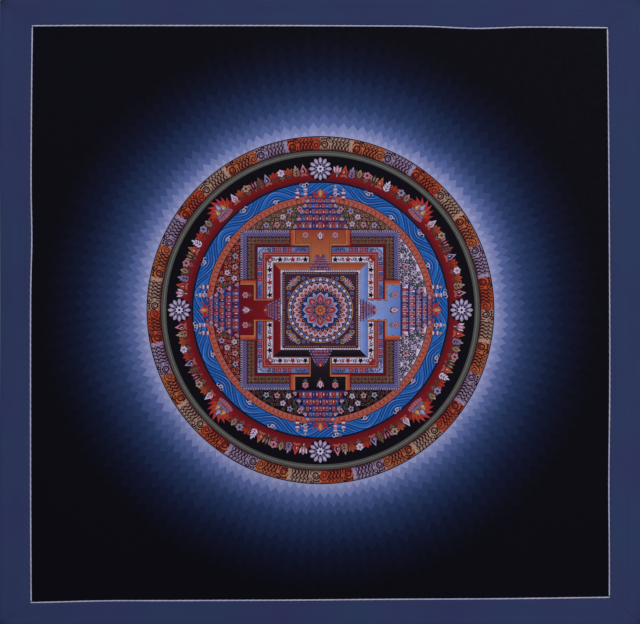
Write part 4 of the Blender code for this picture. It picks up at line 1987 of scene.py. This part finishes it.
# %% The square and the lotus's rings
HEART = 33.2
LOTUS_RADIUS = 28.5
LOTUS_RINGS = (
    Band(27.8, LOTUS_RADIUS, "gold"),
    Band(24.6, 27.8, "navy"),
    Band(24.0, 24.6, "tan"),
    Band(17.4, 24.0, "dark_red"),
    Band(16.6, 17.4, "black"),
    Band(4.6, 16.6, "deep_blue"),
)


def in_square(across, up):
    """A point of the dark square."""
    return (2 * across - 1) * HEART, (2 * up - 1) * HEART, 0


on_coat(grid("heart_square", 14, 14, in_square), "blocks", "plum")
for band in LOTUS_RINGS:
    ring("shapes", band.pigment, band.inner, band.outer)
disc("shapes", "gold", LOTUS_RINGS[-1].inner, points=28)
on_walls([tile("fills", "gold", 0, 1.1, -0.35, 0.35)], count=15, period=2.0, start=1.2, middle=31.7)
print("rings in the lotus", len(LOTUS_RINGS))

# %% Leaves in the corners
SPRAY = ((56, "green"), (38, "sky"), (20, "rose"))
CURLS = (  # pigment, width, across, up, radius, turns, start
    ("gold", 0.7, 6.2, 33.0, 2.3, 1.3, 180),
    ("sky", 0.6, 9.4, 29.6, 1.7, 1.2, 200),
    ("rose", 0.5, 12.0, 27.2, 1.1, -1.1, 200),
)
sprays = Sketch("corner_sprays")
for lean, pigment in SPRAY:
    for way in (-1, 1):
        sprays.shape("fills", pigment, LEAF, 2.4, 7.4, (0, 30.0), way * lean, EDGE)
sprays.shape("fills", "rose", LEAF, 2.4, 7.4, (0, 30.0), 0, EDGE)
sprays.shape("lines", "clay", BUD, 2.2, 4.4, (0, 30.6), 0, EDGE)
for way in (-1, 1):
    for pigment, width, across, up, radius, turns, start in CURLS:
        curl = spiral((way * across, up), radius, way * turns, start=start)
        sprays.stroke("fills", pigment, curl, width, (1, 0.5))
repeat_round(moved(sprays.made(lambda x, y: (y - 29) / 9), turn=45), 4)
print("leaves in a corner", 2 * len(SPRAY) + 1)

# %% Petals in rings
Layer = namedtuple("Layer", "coat pigment outline wide tall radius turn edge", defaults=(0, 0))
SMALL_TURN, GREAT_TURN = 180 / 28, 22.5
SMALL_PETALS = (
    Layer("fills", "white", BROAD_PETAL, 2.6, 2.9, 24.7),
    Layer("lines", "maroon", PETAL, 1.0, 1.5, 24.7),
    Layer("fills", "sky", BROAD_PETAL, 2.6, 2.9, 24.7, SMALL_TURN),
    Layer("lines", "maroon", PETAL, 1.0, 1.5, 24.7, SMALL_TURN),
)
RING_PETALS = (
    Layer("fills", "white", BROAD_PETAL, 4.7, 6.1, 17.6, edge=0.3),
    Layer("lines", "rose", BROAD_PETAL, 3.3, 4.8, 17.9),
    Layer("lines", "red", BROAD_PETAL, 2.1, 3.2, 18.2, edge=0.2),
    Layer("lines", "tan", PETAL, 0.9, 2.3, 18.5),
)
GREAT_PETALS = (
    Layer("fills", "sky", PETAL, 3.4, 5.0, 11.2, GREAT_TURN, EDGE),
    Layer("lines", "clay", PETAL, 1.4, 2.8, 11.6, GREAT_TURN),
    Layer("fills", "lilac", BROAD_PETAL, 7.8, 11.2, 4.2, edge=0.35),
    Layer("lines", "red", BROAD_PETAL, 5.4, 8.6, 4.8, edge=EDGE),
    Layer("lines", "rose", PETAL, 3.2, 6.6, 5.2, edge=EDGE),
    Layer("lines", "maroon", PETAL, 1.3, 3.6, 6.0),
)


def petals_round(name, layers, count, shade=None):
    """Draws the layers of one petal, or of two neighbours, and takes them round the middle."""
    petals = Sketch(name)
    for layer in layers:
        foot = on_spoke(layer.radius, layer.turn)
        petals.shape(*layer[:5], foot, layer.turn, layer.edge)
    repeat_round(petals.made(shade), count)
    print(name, count, "times")


petals_round("small_petals", SMALL_PETALS, 28)
petals_round("petal_ring", RING_PETALS, 28, lambda x, y: (y - 17) / 9)
repeat_round([disc("fills", "tan", 0.5, (0, 17.0), 7)], 56)
petals_round("great_petals", GREAT_PETALS, 8, lambda x, y: (math.hypot(x, y) - 5) / 14)

# %% Seed head
seeds = Sketch("seeds")
for turn in range(0, 360, 30):
    seeds.shape("fills", "vermilion", DROP, 1.1, 1.6, on_spoke(2.9, turn), turn)
print("faces in the seeds", len(seeds.made()[0].data.polygons))
disc("lines", "red", 2.3, points=16)
moved([disc("lines", "tan", 1.2, points=12)], lift=SKETCH_DEPTH)

# %% [markdown]
# ## Hanging the painting
# The coats are now joined one by one, cut into four quarters, and laid on the hung cloth. A quarter is a
# handier piece to keep, and its map is a plain view from the front, so a baked colour is as sharp in the
# middle as at the rim. Solidify gives the coat its thickness behind its front.

# %% One quarter of a coat
COAT_THICK = 0.00005
MM = 0.001


def hang_coat(obj, level, right, up):
    """Maps a flat quarter and lays it on the cloth, this far in front."""
    mesh = obj.data
    for face in mesh.polygons:
        if face.normal.z < 0:
            face.flip()
    while mesh.uv_layers:
        mesh.uv_layers.remove(mesh.uv_layers[0])
    flat_map = mesh.uv_layers.new(name=MAP)
    reach = MANDALA_RADIUS / MM
    for loop, spot in zip(mesh.loops, flat_map.data):
        x, y, _ = mesh.vertices[loop.vertex_index].co
        spot.uv = (x / reach + (right < 0), y / reach + (up < 0))
    for point in mesh.vertices:
        x, y, lift = point.co
        point.co = hang(MIDDLE_ACROSS + x * MM, -(level + lift) * MM, MIDDLE_DOWN - y * MM)
    apply_modifier(obj, "SOLIDIFY", thickness=COAT_THICK, offset=-1)


def cut_quarter(whole, name, right, up):
    """A copy of a coat, cut down to the quarter on these sides of the middle."""
    quarter = copied(whole)[0]
    quarter.name = quarter.data.name = name
    pick(quarter)
    edit(
        lambda: bpy.ops.mesh.bisect(plane_co=(0, 0, 0), plane_no=(right, 0, 0), clear_inner=True),
        lambda: bpy.ops.mesh.select_all(action="SELECT"),
        lambda: bpy.ops.mesh.bisect(plane_co=(0, 0, 0), plane_no=(0, up, 0), clear_inner=True),
    )
    return quarter


# %% Coats on the cloth
COAT_STEP = 0.07
CORNERS = {"upper_right": (1, 1), "lower_right": (1, -1), "lower_left": (-1, -1), "upper_left": (-1, 1)}
rub_out([BRUSH])
painted = []
for number, coat in enumerate(COATS):
    whole = gathered([obj for obj in bpy.context.scene.objects if obj.get("coat") == coat])
    for corner, (right, up) in CORNERS.items():
        quarter = cut_quarter(whole, f"paint_{coat}_{corner}", right, up)
        hang_coat(quarter, COAT_STEP * (number + 1), right, up)
        painted.append(quarter)
    rub_out(whole)
    print(coat, "faces", sum(len(piece.data.polygons) for piece in painted[-4:]))

# %% [markdown]
# ## Floor, light and camera
# The cloth hangs above a plain pale floor. A big soft lamp in front and a pale sky light it evenly, as a
# painting is lit to be photographed, and the camera looks at it square on through a long lens.

# %% Floor
FLOOR_SIZE, FLOOR_DROP, FLOOR_ROUGHNESS = 12.0, 0.10, 0.9
FLOOR_TONES = ("c9c6c0", "d6d3cd")
bpy.ops.mesh.primitive_plane_add(size=FLOOR_SIZE, location=(0, 0, cad_box[0].z - FLOOR_DROP))
floor = added("floor")
pale, pale_shader, pale_place = new_material("pale_floor")
wire_up(pale_shader, two_toned(pale_place.noise(3.0, 4.0), FLOOR_TONES), FLOOR_ROUGHNESS)
floor.data.materials.append(pale)
print("the floor lies at", round(floor.location.z, 3))

# %% Light
LAMP_PLACE, LAMP_SIZE, LAMP_POWER = (0.8, -2.4, 0.9), (2.4, 1.8), 44.0
ROOM_COLOUR, ROOM_LIGHT = (0.86, 0.90, 1.0, 1), 0.50
FRAME_ACROSS, FRAME_MIDDLE = -0.0007, -0.2730
bpy.ops.object.light_add(type="AREA", location=LAMP_PLACE)
lamp = bpy.context.active_object
lamp.data.shape = "RECTANGLE"
lamp.data.size, lamp.data.size_y = LAMP_SIZE
lamp.data.energy = LAMP_POWER
lamp.rotation_euler = (Vector((0, 0, FRAME_MIDDLE)) - lamp.location).to_track_quat("-Z", "Y").to_euler()
world = bpy.data.worlds.new("soft_room")
bpy.context.scene.world = world
world.use_nodes = True
room = world.node_tree.nodes["Background"].inputs
room["Color"].default_value, room["Strength"].default_value = ROOM_COLOUR, ROOM_LIGHT
print("the lamp is", round(lamp.location.length, 2), "m away")

# %% Camera
SENSOR, LENS = 0.036, 0.135
FRAME_WIDTH = 0.5568
away = FRAME_WIDTH * LENS / SENSOR
bpy.ops.object.camera_add(location=(FRAME_ACROSS, -away, FRAME_MIDDLE), rotation=(math.pi / 2, 0, 0))
camera = bpy.context.active_object
camera.data.sensor_width, camera.data.lens = SENSOR * 1000, LENS * 1000
bpy.context.scene.camera = camera
bpy.context.scene.view_settings.view_transform = "Standard"
print("camera", round(-camera.location.y, 3), "m in front")

# %% [markdown]
# ## The solids that the finer pieces replace
# The frame's solids for the canvas, the border strips and the piping are hidden, since finer pieces take
# their place, and every piece rides the root body. Each strip's cut size, before it was sewn and hung, is
# printed. The strips have mitred ends, so the area of their cut is worked out from its outline, with the
# turned hem added.

# %% Solids and riding
for name in SIDES:
    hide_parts("border_" + name)
    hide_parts("piping_" + name)
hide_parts("painted_canvas")
for name in SIDES:
    for piece in [strips[name], *stitches[name]]:
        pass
everything = [canvas, ground, *painted, *strips.values(), *cords.values(), *sum(stitches.values(), [])]
for piece in everything:
    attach(piece, "root")
print("pieces", len(everything))

# %% Sheets
for name, side in SIDES.items():
    lines = strip_lines(side)
    cut = [inner for inner, _, _ in lines] + [outer for _, outer, _ in reversed(lines)]
    twice_the_area = abs(sum(a[0] * b[1] - b[0] * a[1] for a, b in zip(cut, cut[1:] + cut[:1])))
    length = math.dist(outline_corner(side.start), outline_corner(side.end))
    widest = max(math.dist(inner, outer) for inner, outer, _ in lines[EDGE_STEPS // 4 : -EDGE_STEPS // 4])
    print(name, "strip", round(length, 4), "by", round(widest + HEM_WIDTH, 4))
    twice_the_area / 2 + (length - HEM_WIDTH) * HEM_WIDTH
    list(stitches[name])
